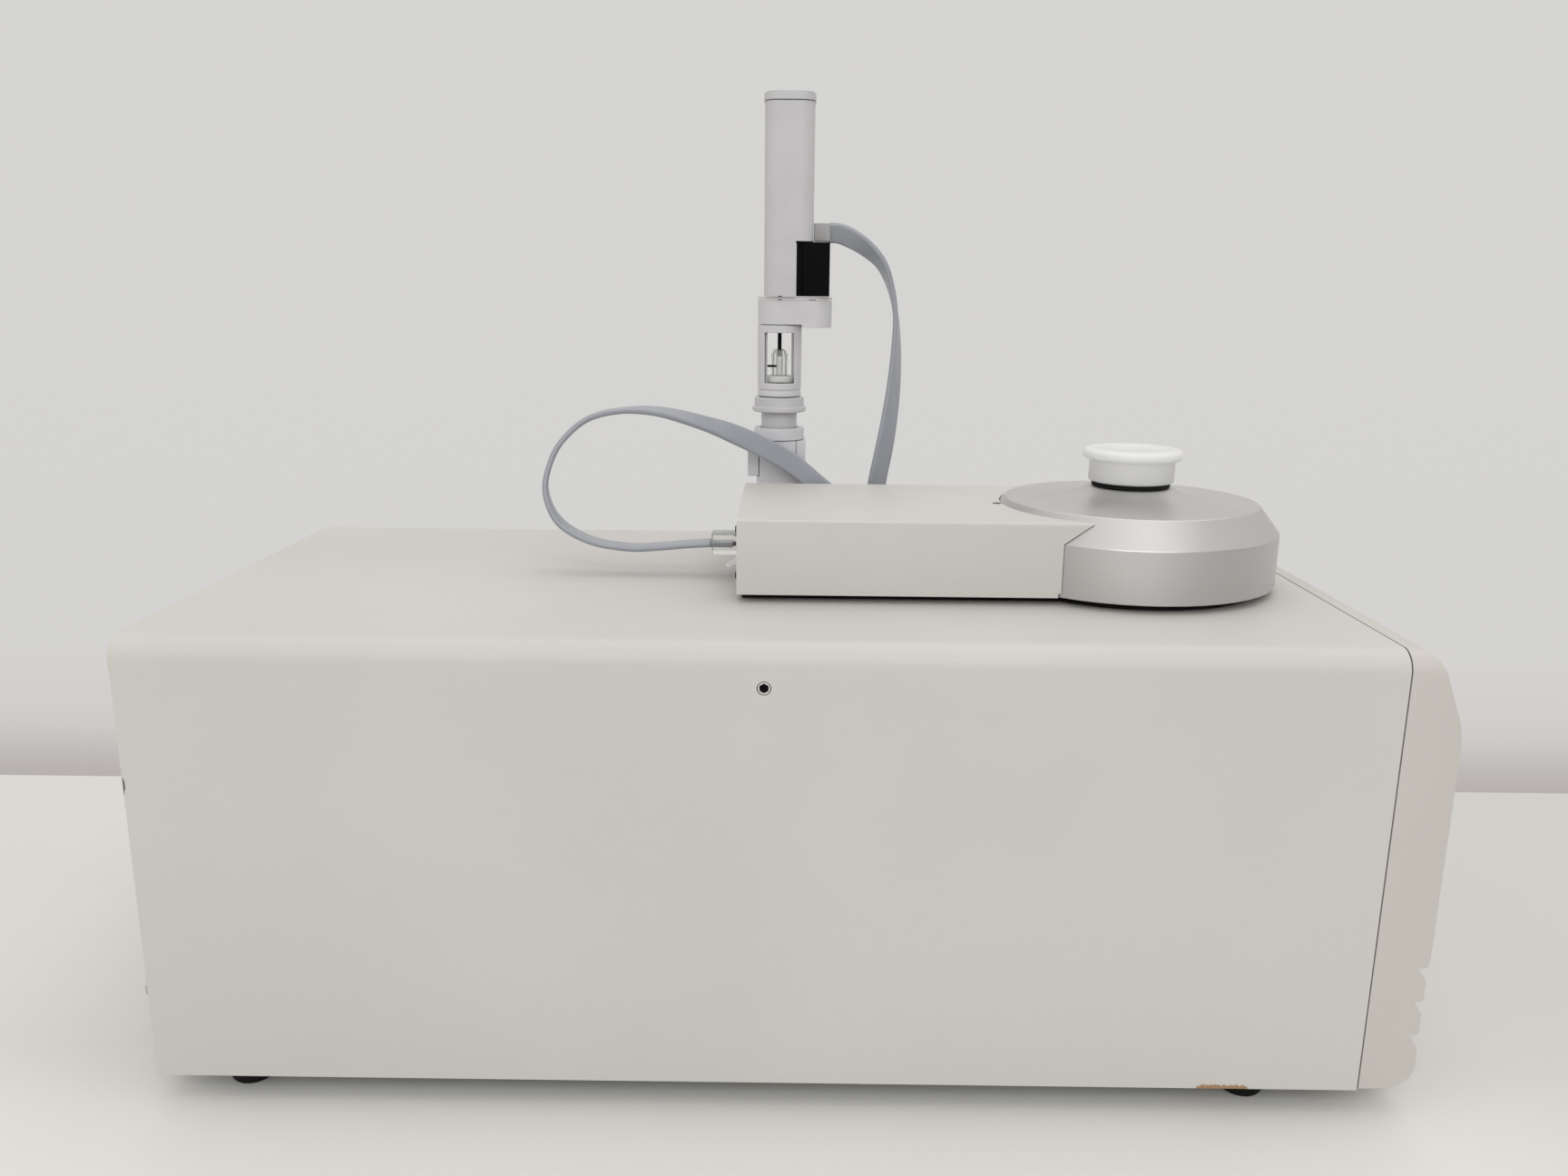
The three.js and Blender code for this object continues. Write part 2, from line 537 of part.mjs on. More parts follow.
function addPort() {
  const WALL = 4.2;
  const HUB_WALL = 3.4;
  const FOOT = { radius: 47.5, thickness: 2.5 }; // inward flange that rests on the gasket
  const profile = [
    ...PORT_OUTSIDE,
    [PORT_BORE, PORT_NECK_Z],
    [PORT_BORE, DECK_Z + 14],
    [PORT_BORE + HUB_WALL, DECK_Z + 14],
    [PORT_BORE + HUB_WALL, DECK_Z + 31],
    [48.5, DECK_Z + 29.5],
    [PORT_RADIUS - WALL, DECK_Z + 21.5],
    [PORT_RADIUS - WALL, ARM_FLOOR_Z + FOOT.thickness],
    [FOOT.radius, ARM_FLOOR_Z + FOOT.thickness],
    [FOOT.radius, ARM_FLOOR_Z],
  ];
  place("port_cover", turned(PORT_X, 0, profile, 48), SATIN_METAL);

  const sealZ = [PORT_NECK_Z + GAP, PORT_NECK_Z + 1.8];
  const seal = [
    [PORT_BORE, sealZ[0]],
    [15.6, sealZ[0]],
    [15.6, sealZ[1]],
    [PORT_BORE, sealZ[1]],
  ];
  place("port_seal", turned(PORT_X, 0, seal, 32), BLACK_RUBBER);

  const plugZ = sealZ[1] + GAP;
  const STEM = PORT_BORE - 0.5;
  const plug = [
    [0, DECK_Z + 17],
    [STEM - 1, DECK_Z + 17],
    [STEM, DECK_Z + 18],
    [STEM, plugZ],
    [16.6, plugZ],
    [17, plugZ + 0.6],
    [17, plugZ + 8.6],
    [19, plugZ + 9],
    [19.8, plugZ + 10],
    [19.8, plugZ + 12],
    [18.8, plugZ + 13.2],
    [0, plugZ + 13.6],
  ];
  place("cell_plug", turned(PORT_X, 0, plug, 32), WHITE_PLASTIC);
}

// A modular jack in the arm's end plate, and the clear plug in it with its sprung latch tab.
function addArmConnector() {
  const face = ARM_REAR_X - 0.6;
  const body = block([face, face + 17], [-8, 8], [180.3, 197]);
  const mouth = block([face - 1, face + 12.5], [-6.3, 6.3], [185.3, 194.5]);
  const keyway = block([face - 1, face + 12.5], [-3.3, 3.3], [181.9, 186]);
  place("arm_jack", cut(body, mouth, keyway), BLACK_PLASTIC);

  const PLUG = { rear: ARM_REAR_X - 12.1, front: ARM_REAR_X + 10.5, half: 5.85, z: [185.7, 194] };
  const plugBody = block([PLUG.rear, PLUG.front], [-PLUG.half, PLUG.half], PLUG.z);
  const latch = polygon([
    [PLUG.front - 0.5, 186.2],
    [PLUG.front - 0.5, 184.9],
    [PLUG.front - 11, 182.6],
    [PLUG.rear + 5.6, 179],
    [PLUG.rear + 5.2, 180],
    [PLUG.front - 11.3, 183.8],
    [PLUG.front - 2.5, 186.2],
  ]);
  place("arm_plug", join(plugBody, plateY(latch, [-3, 3])), CLEAR_PLASTIC);
}

// ---------------------------------------------------------------- calorimeter core in the case

function addCore() {
  const sinkZ = [FOOT_HEIGHT + GAP + PAN_SHEET + GAP, 46];
  const HALF = 36;
  const FIN = { count: 7, gap: 6, pitch: 10, base: 8 };
  const slotX = [PORT_X - HALF - 1, PORT_X + HALF + 1];
  const slots = Array.from({ length: FIN.count }, (_, i) => {
    const y = (i - (FIN.count - 1) / 2) * FIN.pitch;
    return block(slotX, [y - FIN.gap / 2, y + FIN.gap / 2], [0, sinkZ[1] - FIN.base]);
  });
  const blank = block([PORT_X - HALF, PORT_X + HALF], [-HALF, HALF], sinkZ);
  place("heat_sink", cut(blank, ...slots), SATIN_METAL);

  const coolerZ = [sinkZ[1] + GAP, sinkZ[1] + GAP + 4];
  place("peltier_module", block([PORT_X - 20, PORT_X + 20], [-20, 20], coolerZ), CERAMIC);

  const jacket = [
    [0, coolerZ[1] + GAP],
    [34, coolerZ[1] + GAP],
    [34, 168],
    [21, 168],
    [21, 84],
    [0, 84],
  ];
  place("cell_jacket", turned(PORT_X, 0, jacket, 24), SATIN_METAL);

  // Two coin-shaped cells side by side, each filled through a long narrow stem.
  const COIN = { radius: 9, half: 2.5, wall: 0.8, z: 102 };
  const STEM = { radius: 2, bore: 1.4, top: DECK_Z + 12 };
  for (const [name, y] of [["sample_cell", 0], ["reference_cell", 11]]) {
    const coin = crossBarrel(PORT_X, [y - COIN.half, y + COIN.half], COIN.z, COIN.radius, COIN.radius, 18);
    const room = crossBarrel(
      PORT_X,
      [y - COIN.half + COIN.wall, y + COIN.half - COIN.wall],
      COIN.z,
      COIN.radius - COIN.wall,
      COIN.radius - COIN.wall,
      18,
    );
    const stem = post(PORT_X, y, [COIN.z + COIN.radius - 1, STEM.top], STEM.radius, STEM.radius, 16);
    const fill = post(PORT_X, y, [COIN.z, STEM.top + 1], STEM.bore, STEM.bore, 16);
    place(name, cut(join(coin, stem), room, fill), GOLD);
  }
}

function addElectronics() {
  const floor = FOOT_HEIGHT + GAP + PAN_SHEET + GAP;
  const board = block([-110, -28], [-78, 20], [floor + 8, floor + 9.6]);
  const corners = [-105, -33].flatMap((x) => [-73, 15].map((y) => [x, y]));
  const standOffs = corners.map(([x, y]) => post(x, y, [floor, floor + 9], 3, 3, 6));
  const chips = [
    block([-100, -78], [-60, -38], [floor + 9.5, floor + 12]),
    block([-68, -48], [-64, -50], [floor + 9.5, floor + 15]),
    block([-95, -60], [-22, -12], [floor + 9.5, floor + 18]),
    block([-50, -36], [-30, 4], [floor + 9.5, floor + 20]),
  ];
  place("control_board", join(board, ...standOffs, ...chips), BOARD_GREEN);

  const supply = block([-190, -122], [-84, -28], [floor, floor + 42]);
  const vents = Array.from({ length: 5 }, (_, i) =>
    block([-180 + i * 11, -176 + i * 11], [-76, -36], [floor + 38, floor + 50]),
  );
  place("power_supply", cut(supply, ...vents), STEEL_ZINC);
}

// ---------------------------------------------------------------- rest for the pipette

function addRest() {
  const { x, y } = SYRINGE;
  const BORE = 3.6; // clear of the stirring needle
  const NOSE_BORE = 8.6; // clear of the pipette's nose
  const depth = [y - 10.5, y + 10.5];
  const blockZ = [DECK_Z + 2.8, 225];
  const noseBore = post(x, y, [213.5, 240], NOSE_BORE);
  const needleBore = post(x, y, [100, 240], BORE, BORE, 20);

  const foot = plateZ(rounded([x - 16, x + 16], [y - 11.5, y + 13], 2), [DECK_Z + GAP, DECK_Z + 2.5], 3);
  place("holder_base", cut(foot, needleBore), ANODISED);
  const column = block([x - 9.9, x + 9.9], depth, [blockZ[0], 208.8]);
  const upper = block([x - 8.7, x + 7.9], depth, [208, blockZ[1]]);
  place("holder_block", cut(join(column, upper), noseBore, needleBore), ANODISED);
  const clampZ = [209.1, blockZ[1]];
  place("holder_clamp_rear", cut(block([x - 14, x - 9], depth, clampZ), noseBore), ANODISED);
  place("holder_clamp_front", cut(block([x + 8.2, x + 12.3], depth, clampZ), noseBore), ANODISED);
  const collar = [
    [NOSE_BORE, blockZ[1] + GAP],
    [11.5, blockZ[1] + GAP],
    [11.5, 230.2],
    [11.1, 230.6],
    [NOSE_BORE, 230.6],
  ];
  place("holder_collar", turned(x, y, collar, 28), ANODISED);
  // A blind tube hangs under the deck and shields the needle inside the case.
  const tube = [
    [0, 111],
    [5.6, 111],
    [5.6, 170.6],
    [10, 170.6],
    [10, DECK_Z - SHEET - GAP],
    [BORE, DECK_Z - SHEET - GAP],
    [BORE, 113],
    [0, 113],
  ];
  place("holder_tube", turned(x, y, tube, 24), WHITE_PLASTIC);
}

// ---------------------------------------------------------------- pipette

function addPipetteBody() {
  const { x, y } = SYRINGE;
  const TUBE = { x: [x - 7.1, x + 14.6], y: [y - 12, y + 12], corner: 6, wall: 1.6 };
  const shrink = ([a, b], by) => [a + by, b - by];
  const outline = (by) => rounded(shrink(TUBE.x, by), shrink(TUBE.y, by), TUBE.corner - by);
  const shell = cut(plateZ(outline(0), TUBE_Z), plateZ(outline(TUBE.wall), [TUBE_Z[0] - 1, TUBE_Z[1] + 1]));
  const motorBay = block([x + 6.9, x + 30], [y - 20, y + 20], [TUBE_Z[0] - 1, MOTOR_TOP_Z]);
  place("pipette_tube", cut(shell, motorBay), ANODISED);

  const capZ = [TUBE_Z[1] + GAP, TUBE_Z[1] + 3.8];
  const brim = plateZ(outline(-0.35), [capZ[0], capZ[1] - 0.6]);
  const cap = join(brim, plateZ(outline(0.3), [capZ[1] - 1, capZ[1]]));
  place("pipette_cap", cap, ANODISED);

  const motorZ = [TUBE_Z[0], MOTOR_TOP_Z - GAP];
  place("stir_motor", block([x + 7.2, x + 21.9], [y - 10, y + 10], motorZ), BLACK_PLASTIC);
  const plugZ = [MOTOR_TOP_Z + GAP, MOTOR_TOP_Z + 8.1];
  place("pipette_plug", block([x + 14.9, x + 22], [y - 3.6, y + 3.6], plugZ), CLEAR_PLASTIC);
}

// The belt housing under the tube, with the stirring motor's pulley driving the syringe's.
function addStirDrive() {
  const { x, y } = SYRINGE;
  const LOBES = [9.9, 8.8];
  const WALL = 1.6;
  const outline = (by) => aroundCircles(x, LOBES[0] - by, STIR_MOTOR_X, LOBES[1] - by, y);
  const floorZ = HEAD_Z[0] + 2.5;
  const shell = cut(
    plateZ(outline(0), HEAD_Z, 12),
    plateZ(outline(WALL), [floorZ, HEAD_Z[1] + 1], 12),
    post(x, y, [HEAD_Z[0] - 1, HEAD_Z[1]], 3.4, 3.4, 24),
    block([x - 20, x + 10.2], [y - 20, y + 20], [HEAD_Z[0] - 1, HEAD_Z[0] + 1.3]),
  );
  place("drive_head", shell, ANODISED);
  const lidZ = [HEAD_Z[1] + GAP, TUBE_Z[0] - GAP];
  const lid = cut(
    plateZ(outline(0), lidZ, 12),
    post(x, y, [lidZ[0] - 1, lidZ[1] + 1], 1.6, 1.6, 20),
    post(STIR_MOTOR_X, y, [lidZ[0] - 1, lidZ[1] + 1], 2.2, 2.2, 20),
  );
  place("head_lid", lid, ANODISED);

  const PULLEY = { driven: 6.2, motor: 4.4, z: [floorZ + 1, floorZ + 6] };
  const ROD_BORE = 1.6;
  const flanged = (px, radius) =>
    join(
      post(px, y, PULLEY.z, radius, radius, 20),
      post(px, y, [PULLEY.z[0], PULLEY.z[0] + 0.6], radius + 1, radius + 1, 20),
      post(px, y, [PULLEY.z[1] - 0.6, PULLEY.z[1]], radius + 1, radius + 1, 20),
    );
  const rodBore = post(x, y, [PULLEY.z[0] - 1, PULLEY.z[1] + 1], ROD_BORE, ROD_BORE, 20);
  place("driven_pulley", cut(flanged(x, PULLEY.driven), rodBore), BLACK_PLASTIC);
  const shaft = post(STIR_MOTOR_X, y, [PULLEY.z[1] - 1, lidZ[1]], 1.5, 1.5, 16);
  place("motor_pulley", join(flanged(STIR_MOTOR_X, PULLEY.motor), shaft), BLACK_PLASTIC);

  const beltZ = [PULLEY.z[0] + 1, PULLEY.z[1] - 1];
  const loop = (by) => aroundCircles(x, PULLEY.driven + by, STIR_MOTOR_X, PULLEY.motor + by, y);
  const belt = cut(plateZ(loop(0.75), beltZ, 10), plateZ(loop(0.1), [beltZ[0] - 1, beltZ[1] + 1], 10));
  place("drive_belt", belt, BLACK_RUBBER);
}

// The windowed barrel in which the syringe turns, and the cage that turns it.
function addSyringeBarrel() {
  const { x, y } = SYRINGE;
  const WINDOW = { half: 6.6, z: [250.9, 273.4] };
  const FRAME_BORE = 8.6;
  const frame = [
    [FRAME_BORE, 244.8],
    [9.5, 244.8],
    [9.95, 245.3],
    [9.85, 247.2],
    [9.3, 247.7],
    [9.9, 248.2],
    [9.95, 276.7],
    [FRAME_BORE, 276.7],
  ];
  const window = block([x - WINDOW.half, x + WINDOW.half], [y - 20, y + 20], WINDOW.z);
  place("window_frame", cut(turned(x, y, frame, 28), window), ANODISED);

  const CAGE = { radius: 8.3, bore: 7.5, z: [247.4, 275.1] };
  const cage = [
    [2, CAGE.z[0]],
    [CAGE.radius, CAGE.z[0]],
    [CAGE.radius, CAGE.z[1]],
    [3, CAGE.z[1]],
    [3, HEAD_Z[0] + 3.2],
    [1.6, HEAD_Z[0] + 3.2],
    [1.6, 273.9],
    [CAGE.bore, 273.9],
    [CAGE.bore, 250.6],
    [2, 250.6],
  ];
  const opening = new THREE.BoxGeometry(12.6, 40, 22.6).rotateZ(0.16).translate(x, y, 262.2);
  place("spin_cage", cut(turned(x, y, cage, 24), solid(opening)), ANODISED);

  const base = [
    [1.9, 251.2],
    [7, 251.2],
    [7, 253.4],
    [6.4, 254.1],
    [1.9, 254.1],
  ];
  place("syringe_base", turned(x, y, base, 24), WHITE_PLASTIC);
  const bell = [
    [2.7, 254.4],
    [3.7, 254.4],
    [3.7, 263.6],
    [3.1, 265.1],
    [1.9, 265.9],
    [1.9, 265.1],
    [2.7, 263.2],
  ];
  place("syringe_holder", turned(x, y, bell, 20), CLEAR_PLASTIC);
  const glass = [
    [1.1, 222],
    [1.6, 222],
    [1.6, 265.2],
    [1.1, 265.2],
  ];
  place("syringe_glass", turned(x, y, glass, 20), GLASS);

  const needle = post(x, y, [117, 221.7], 0.8, 0.8, 12);
  const paddle = new THREE.BoxGeometry(5, 0.8, 9).translate(x, y, 121.5);
  place("stir_needle", join(needle, solid(paddle)), BARE_STEEL);
}

// The pipette's nose below the barrel, with the ring that locks the syringe in.
function addNose() {
  const { x, y } = SYRINGE;
  const nose = [
    [3, 214.5],
    [7.6, 214.5],
    [8.1, 215.5],
    [8.1, 237.6],
    [7.2, 237.6],
    [7.2, 244.5],
    [3, 244.5],
  ];
  place("pipette_nose", turned(x, y, nose, 28), ANODISED);
  const ring = [
    [7.6, 237.9],
    [11.9, 237.9],
    [12.2, 238.3],
    [12.2, 240],
    [11.3, 240.4],
    [11.3, 244.1],
    [10.9, 244.5],
    [7.6, 244.5],
  ];
  place("lock_ring", turned(x, y, ring, 28), ANODISED);
}

// A small linear motor in the tube pushes the plunger rod down through the syringe.
function addPlunger() {
  const { x, y } = SYRINGE;
  const flange = block([x - 5, x + 10], [y - 6, y + 6], [326, 328.5]);
  const motor = join(post(x, y, [328, 346], 5), flange);
  place("plunger_motor", cut(motor, post(x, y, [300, 360], 1.5, 1.5, 16)), BLACK_PLASTIC);
  place("lead_screw", post(x, y, [300, 358], 1.2, 1.2, 12), BARE_STEEL);
  place("plunger_rod", post(x, y, [262.5, 299.7], 0.9, 0.9, 12), BLACK_PLASTIC);
}

// ---------------------------------------------------------------- cable

// A flat strip swept along the route, its width turned to each point's stated direction.
function addCable() {
  const STEPS = 72;
  const points = CABLE_ROUTE.map(([x, y, z]) => new THREE.Vector3(x, y, z));
  const centres = new THREE.CatmullRomCurve3(points);
  const widths = CABLE_ROUTE.map(([, , , x, y, z]) => new THREE.Vector3(x, y, z));
  const widthAt = (t) => {
    const along = t * (widths.length - 1);
    const low = Math.min(Math.floor(along), widths.length - 2);
    return widths[low].clone().lerp(widths[low + 1], along - low);
  };
  centres.computeFrenetFrames = (steps) => {
    const frames = { tangents: [], normals: [], binormals: [] };
    for (let i = 0; i <= steps; i++) {
      const tangent = centres.getTangentAt(i / steps);
      const across = widthAt(centres.getUtoTmapping(i / steps));
      across.addScaledVector(tangent, -across.dot(tangent)).normalize();
      frames.tangents.push(tangent);
      frames.normals.push(across);
      frames.binormals.push(new THREE.Vector3().crossVectors(tangent, across));
    }
    return frames;
  };
  const a = CABLE_WIDTH / 2;
  const b = CABLE_THICKNESS / 2;
  const bevel = b * 0.6;
  const section = polygon([
    [-a, -b + bevel],
    [-a + bevel, -b],
    [a - bevel, -b],
    [a, -b + bevel],
    [a, b - bevel],
    [a - bevel, b],
    [-a + bevel, b],
    [-a, b - bevel],
  ]);
  const sweep = { steps: STEPS, bevelEnabled: false, extrudePath: centres };
  place("signal_cable", solid(new THREE.ExtrudeGeometry(section, sweep)), CABLE_GREY);
}

addCover();
addBasePan();
addFrontPanel();
addFeet();
addCaseScrews();
addRearPanel();
addMainsInlet();
addDataSocket();
addFan();
addArm();
addGasket();
addPort();
addArmConnector();
addCore();
addElectronics();
addRest();
addPipetteBody();
addStirDrive();
addSyringeBarrel();
addNose();
addPlunger();
addCable();

export default group;
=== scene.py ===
"""Looks for the bench calorimeter cell unit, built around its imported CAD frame.

Every length is in metres in the frame of the CAD model. Small sizes are written in millimetres
times MM.
"""

import math

import bmesh
import bpy
from mathutils import Matrix, Vector


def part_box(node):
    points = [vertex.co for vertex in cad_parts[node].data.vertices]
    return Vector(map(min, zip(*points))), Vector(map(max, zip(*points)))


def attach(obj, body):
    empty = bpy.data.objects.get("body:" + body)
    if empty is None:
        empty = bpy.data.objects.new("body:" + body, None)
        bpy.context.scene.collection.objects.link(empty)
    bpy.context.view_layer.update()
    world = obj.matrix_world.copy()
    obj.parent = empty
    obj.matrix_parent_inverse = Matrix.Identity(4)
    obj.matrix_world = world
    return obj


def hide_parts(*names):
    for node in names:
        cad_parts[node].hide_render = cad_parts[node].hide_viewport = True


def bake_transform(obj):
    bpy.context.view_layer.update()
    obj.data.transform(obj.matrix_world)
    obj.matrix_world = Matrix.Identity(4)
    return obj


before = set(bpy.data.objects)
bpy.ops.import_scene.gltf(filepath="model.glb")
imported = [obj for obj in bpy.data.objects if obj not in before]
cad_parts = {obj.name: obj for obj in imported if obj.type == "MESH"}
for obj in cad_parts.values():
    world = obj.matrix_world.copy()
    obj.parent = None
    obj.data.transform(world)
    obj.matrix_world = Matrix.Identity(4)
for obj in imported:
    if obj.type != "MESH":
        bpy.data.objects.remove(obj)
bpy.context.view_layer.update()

MM = 0.001

# ---------------------------------------------------------------- places taken from the frame


def middle(node):
    low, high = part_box(node)
    return (low + high) / 2


PORT_AXIS = middle("port_cover").xy
SYRINGE_AXIS = middle("syringe_glass").xy
COVER_LOW, COVER_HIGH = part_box("cover")
ARM_LOW, ARM_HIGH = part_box("arm_housing")

# The flat cable from the pipette to the arm: a point on its centreline in millimetres, then
# the direction across its width there.
CABLE_ROUTE = (
    (19.4, 69.5, 317, 0, -0.35, 0.94),
    (22.4, 69.5, 316.8, 0, -0.37, 0.93),
    (26.5, 69.5, 315.4, 0.1, -0.42, 0.9),
    (34.3, 70.5, 310.9, 0.3, -0.68, 0.65),
    (41.7, 71.5, 303.9, 0.28, -0.92, 0.25),
    (46.4, 72.5, 293.6, 0.1, -0.99, 0.05),
    (49, 72.5, 281.6, -0.1, -1, 0),
    (49.6, 71.5, 268.7, -0.35, -0.93, 0),
    (48.9, 69.5, 251.2, -0.6, -0.8, 0),
    (47, 66.5, 234.9, -0.78, -0.6, 0.1),
    (44.8, 64, 221.6, -0.88, -0.45, 0.1),
    (42, 62.5, 206.8, -0.9, -0.4, 0.1),
    (41, 62, 196, -1, 0, 0),
    (39.7, 57.5, 190, -0.76, 0.5, -0.44),
    (33.9, 53, 191.9, -0.5, 0, -0.87),
    (25, 52.8, 198, -0.5, 0, -0.87),
    (15, 52.6, 205.6, -0.52, -0.1, -0.85),
    (1.9, 51.6, 216.3, -0.48, -0.2, -0.85),
    (-17.2, 46.5, 227, -0.4, -0.35, -0.85),
    (-34.9, 40.5, 234.4, -0.15, -0.86, -0.48),
    (-55.5, 32.5, 240.4, 0, -0.98, -0.18),
    (-69.6, 26.5, 241.3, 0, -1, 0),
    (-81, 21.5, 239.3, 0, -1, 0),
    (-88, 17.5, 235.4, 0, -1, 0),
    (-95.3, 12.5, 227.4, 0.1, -1, 0),
    (-98.9, 9.5, 219, 0.15, -1, 0),
    (-100.1, 7, 211.2, 0.15, -1, 0),
    (-97.7, 4.5, 202.6, 0.1, -1, 0),
    (-92.7, 3, 196, 0, -1, 0),
    (-80.2, 1.8, 189.5, 0, -1, 0),
    (-62.8, 1.1, 187, 0, -1, 0),
    (-53.3, 0.6, 187.6, 0, -1, 0),
    (-40, 0.2, 188.9, 0, -1, 0),
    (-30.4, 0, 189.6, 0, -1, 0),
)
CABLE_START = (17.9, 69.5, 317, 0, -0.35, 0.94)  # a little way inside the pipette's plug
CABLE_WIDTH = 9.2 * MM
CABLE_THICKNESS = 2.4 * MM
CONDUCTORS = 8

# ---------------------------------------------------------------- camera


CAMERA_PLACE = (0.0022, -0.5038, 0.2904)
CAMERA_ANGLES = (-0.27, 13.38, 0.58)  # yaw, pitch down and roll, in degrees
FOCAL_LENGTH, SENSOR_WIDTH = 28.395, 36


def make_camera():
    """A view of the left side, from above the deck, nearly square to it."""
    yaw, pitch, roll = (math.radians(angle) for angle in CAMERA_ANGLES)
    level = Vector((math.cos(yaw), -math.sin(yaw), 0))
    ahead = Vector((math.sin(yaw), math.cos(yaw), 0))
    forward = ahead * math.cos(pitch) - Vector((0, 0, 1)) * math.sin(pitch)
    upright = level.cross(forward)
    right = level * math.cos(roll) + upright * math.sin(roll)
    up = upright * math.cos(roll) - level * math.sin(roll)
    lens = bpy.data.cameras.new("camera")
    lens.sensor_fit = "HORIZONTAL"
    lens.sensor_width = SENSOR_WIDTH
    lens.lens = FOCAL_LENGTH
    lens.clip_start = 0.01
    lens.clip_end = 100
    camera = bpy.data.objects.new("camera", lens)
    turn = Matrix((right, up, -forward)).transposed().to_4x4()
    camera.matrix_world = Matrix.Translation(CAMERA_PLACE) @ turn
    bpy.context.scene.collection.objects.link(camera)
    bpy.context.scene.camera = camera


make_camera()

# ---------------------------------------------------------------- node graphs


def linear(*channels):
    """A colour given as 0 to 255 display values, as the linear RGBA that a shader takes."""
    shares = [c / 255 for c in channels]
    return (*(s / 12.92 if s <= 0.04045 else ((s + 0.055) / 1.055) ** 2.4 for s in shares), 1.0)


def shade(color, factor):
    return (*(c * factor for c in color[:3]), 1.0)


class Graph:
    """A node tree. Its calls add nodes and hand back the socket that carries their result."""

    def __init__(self, tree):
        self.tree = tree

    def node(self, kind, **settings):
        made = self.tree.nodes.new(kind)
        for key, value in settings.items():
            setattr(made, key, value)
        return made

    def feed(self, socket, value):
        if isinstance(value, bpy.types.NodeSocket):
            self.tree.links.new(value, socket)
        else:
            socket.default_value = value

    def math(self, operation, a, b=0.0):
        made = self.node("ShaderNodeMath", operation=operation)
        self.feed(made.inputs[0], a)
        self.feed(made.inputs[1], b)
        return made.outputs[0]

    def product(self, first, *others):
        for other in others:
            first = self.math("MULTIPLY", first, other)
        return first

    def span(self, value, low, high, to_low=0.0, to_high=1.0):
        """Value from low to high, smoothly, as to_low to to_high."""
        made = self.node("ShaderNodeMapRange", interpolation_type="SMOOTHSTEP")
        for socket, given in zip(made.inputs[:5], (value, low, high, to_low, to_high)):
            self.feed(socket, given)
        return made.outputs["Result"]

    def axes(self, vector):
        made = self.node("ShaderNodeSeparateXYZ")
        self.feed(made.inputs[0], vector)
        return made.outputs

    def mix(self, share, first, second):
        made = self.node("ShaderNodeMix", data_type="RGBA")
        self.feed(made.inputs["Factor"], share)
        self.feed(made.inputs[6], first)
        self.feed(made.inputs[7], second)
        return made.outputs[2]


class Look(Graph):
    """One material, with the patterns that its sockets are fed from."""

    def __init__(self, name, **sockets):
        self.material = bpy.data.materials.new(name)
        self.material.use_nodes = True
        super().__init__(self.material.node_tree)
        self.shader = self.tree.nodes["Principled BSDF"]
        self.place = self.node("ShaderNodeTexCoord").outputs["Object"]
        self.set(**sockets)

    def set(self, **sockets):
        """Sets the shader's sockets by name, such as base_color or coat_weight."""
        for key, value in sockets.items():
            title = key.replace("_", " ").title().replace("Ior", "IOR")
            self.feed(self.shader.inputs[title], value)
        return self

    def stretched(self, scale):
        made = self.node("ShaderNodeMapping")
        self.feed(made.inputs["Vector"], self.place)
        made.inputs["Scale"].default_value = scale
        return made.outputs["Vector"]

    def noise(self, scale, detail=2.0, stretch=None):
        made = self.node("ShaderNodeTexNoise")
        self.feed(made.inputs["Vector"], self.stretched(stretch) if stretch else self.place)
        made.inputs["Scale"].default_value = scale
        made.inputs["Detail"].default_value = detail
        return made.outputs["Fac"]

    def near(self, centre, reach):
        """1 at a point, falling to 0 at a distance of reach."""
        made = self.node("ShaderNodeVectorMath", operation="DISTANCE")
        self.feed(made.inputs[0], self.place)
        made.inputs[1].default_value = centre
        return self.span(made.outputs["Value"], 0.0, reach, 1.0, 0.0)

    def specks(self, spacing, size, share):
        """Round specks of up to that size, in a share of the cubes of that spacing."""
        cells = self.node("ShaderNodeTexVoronoi")
        self.feed(cells.inputs["Vector"], self.place)
        cells.inputs["Scale"].default_value = 1 / spacing
        pick = self.node("ShaderNodeSeparateColor")
        self.feed(pick.inputs[0], cells.outputs["Color"])
        chosen = self.math("LESS_THAN", pick.outputs[0], share)
        radius = self.math("MULTIPLY", pick.outputs[1], size / spacing / 2)
        inside = self.math("LESS_THAN", cells.outputs["Distance"], radius)
        return self.product(chosen, inside)

    def cloudy(self, color, scale, low, high, detail=3.0):
        """A colour that drifts between two shades of itself."""
        share = self.span(self.noise(scale, detail), 0.35, 0.65)
        return self.mix(share, shade(color, low), shade(color, high))

    def drift(self, scale, low, high, detail=3.0):
        """A value that drifts between low and high."""
        return self.span(self.noise(scale, detail), 0.3, 0.7, low, high)

    def stain(self, tone, share, weight, color):
        """A tone with another colour laid over it, by share and weight."""
        return self.mix(self.product(share, weight), tone, color)

    def bump(self, height, depth, onto=None):
        made = self.node("ShaderNodeBump")
        made.inputs["Strength"].default_value = 1.0
        made.inputs["Distance"].default_value = depth
        self.feed(made.inputs["Height"], height)
        if onto is not None:
            self.feed(made.inputs["Normal"], onto)
        return made.outputs["Normal"]


# ---------------------------------------------------------------- materials

PAINT = linear(201, 198, 194)
MOULDING = linear(196, 192, 187)
RUST = linear(152, 106, 54)
GRIME = linear(120, 112, 100)
DARK_SPECK = linear(84, 78, 72)
PAINT_GRAIN = 900
PAINT_DEPTH = 0.05 * MM
PAINT_ROUGHNESS = (0.46, 0.58)


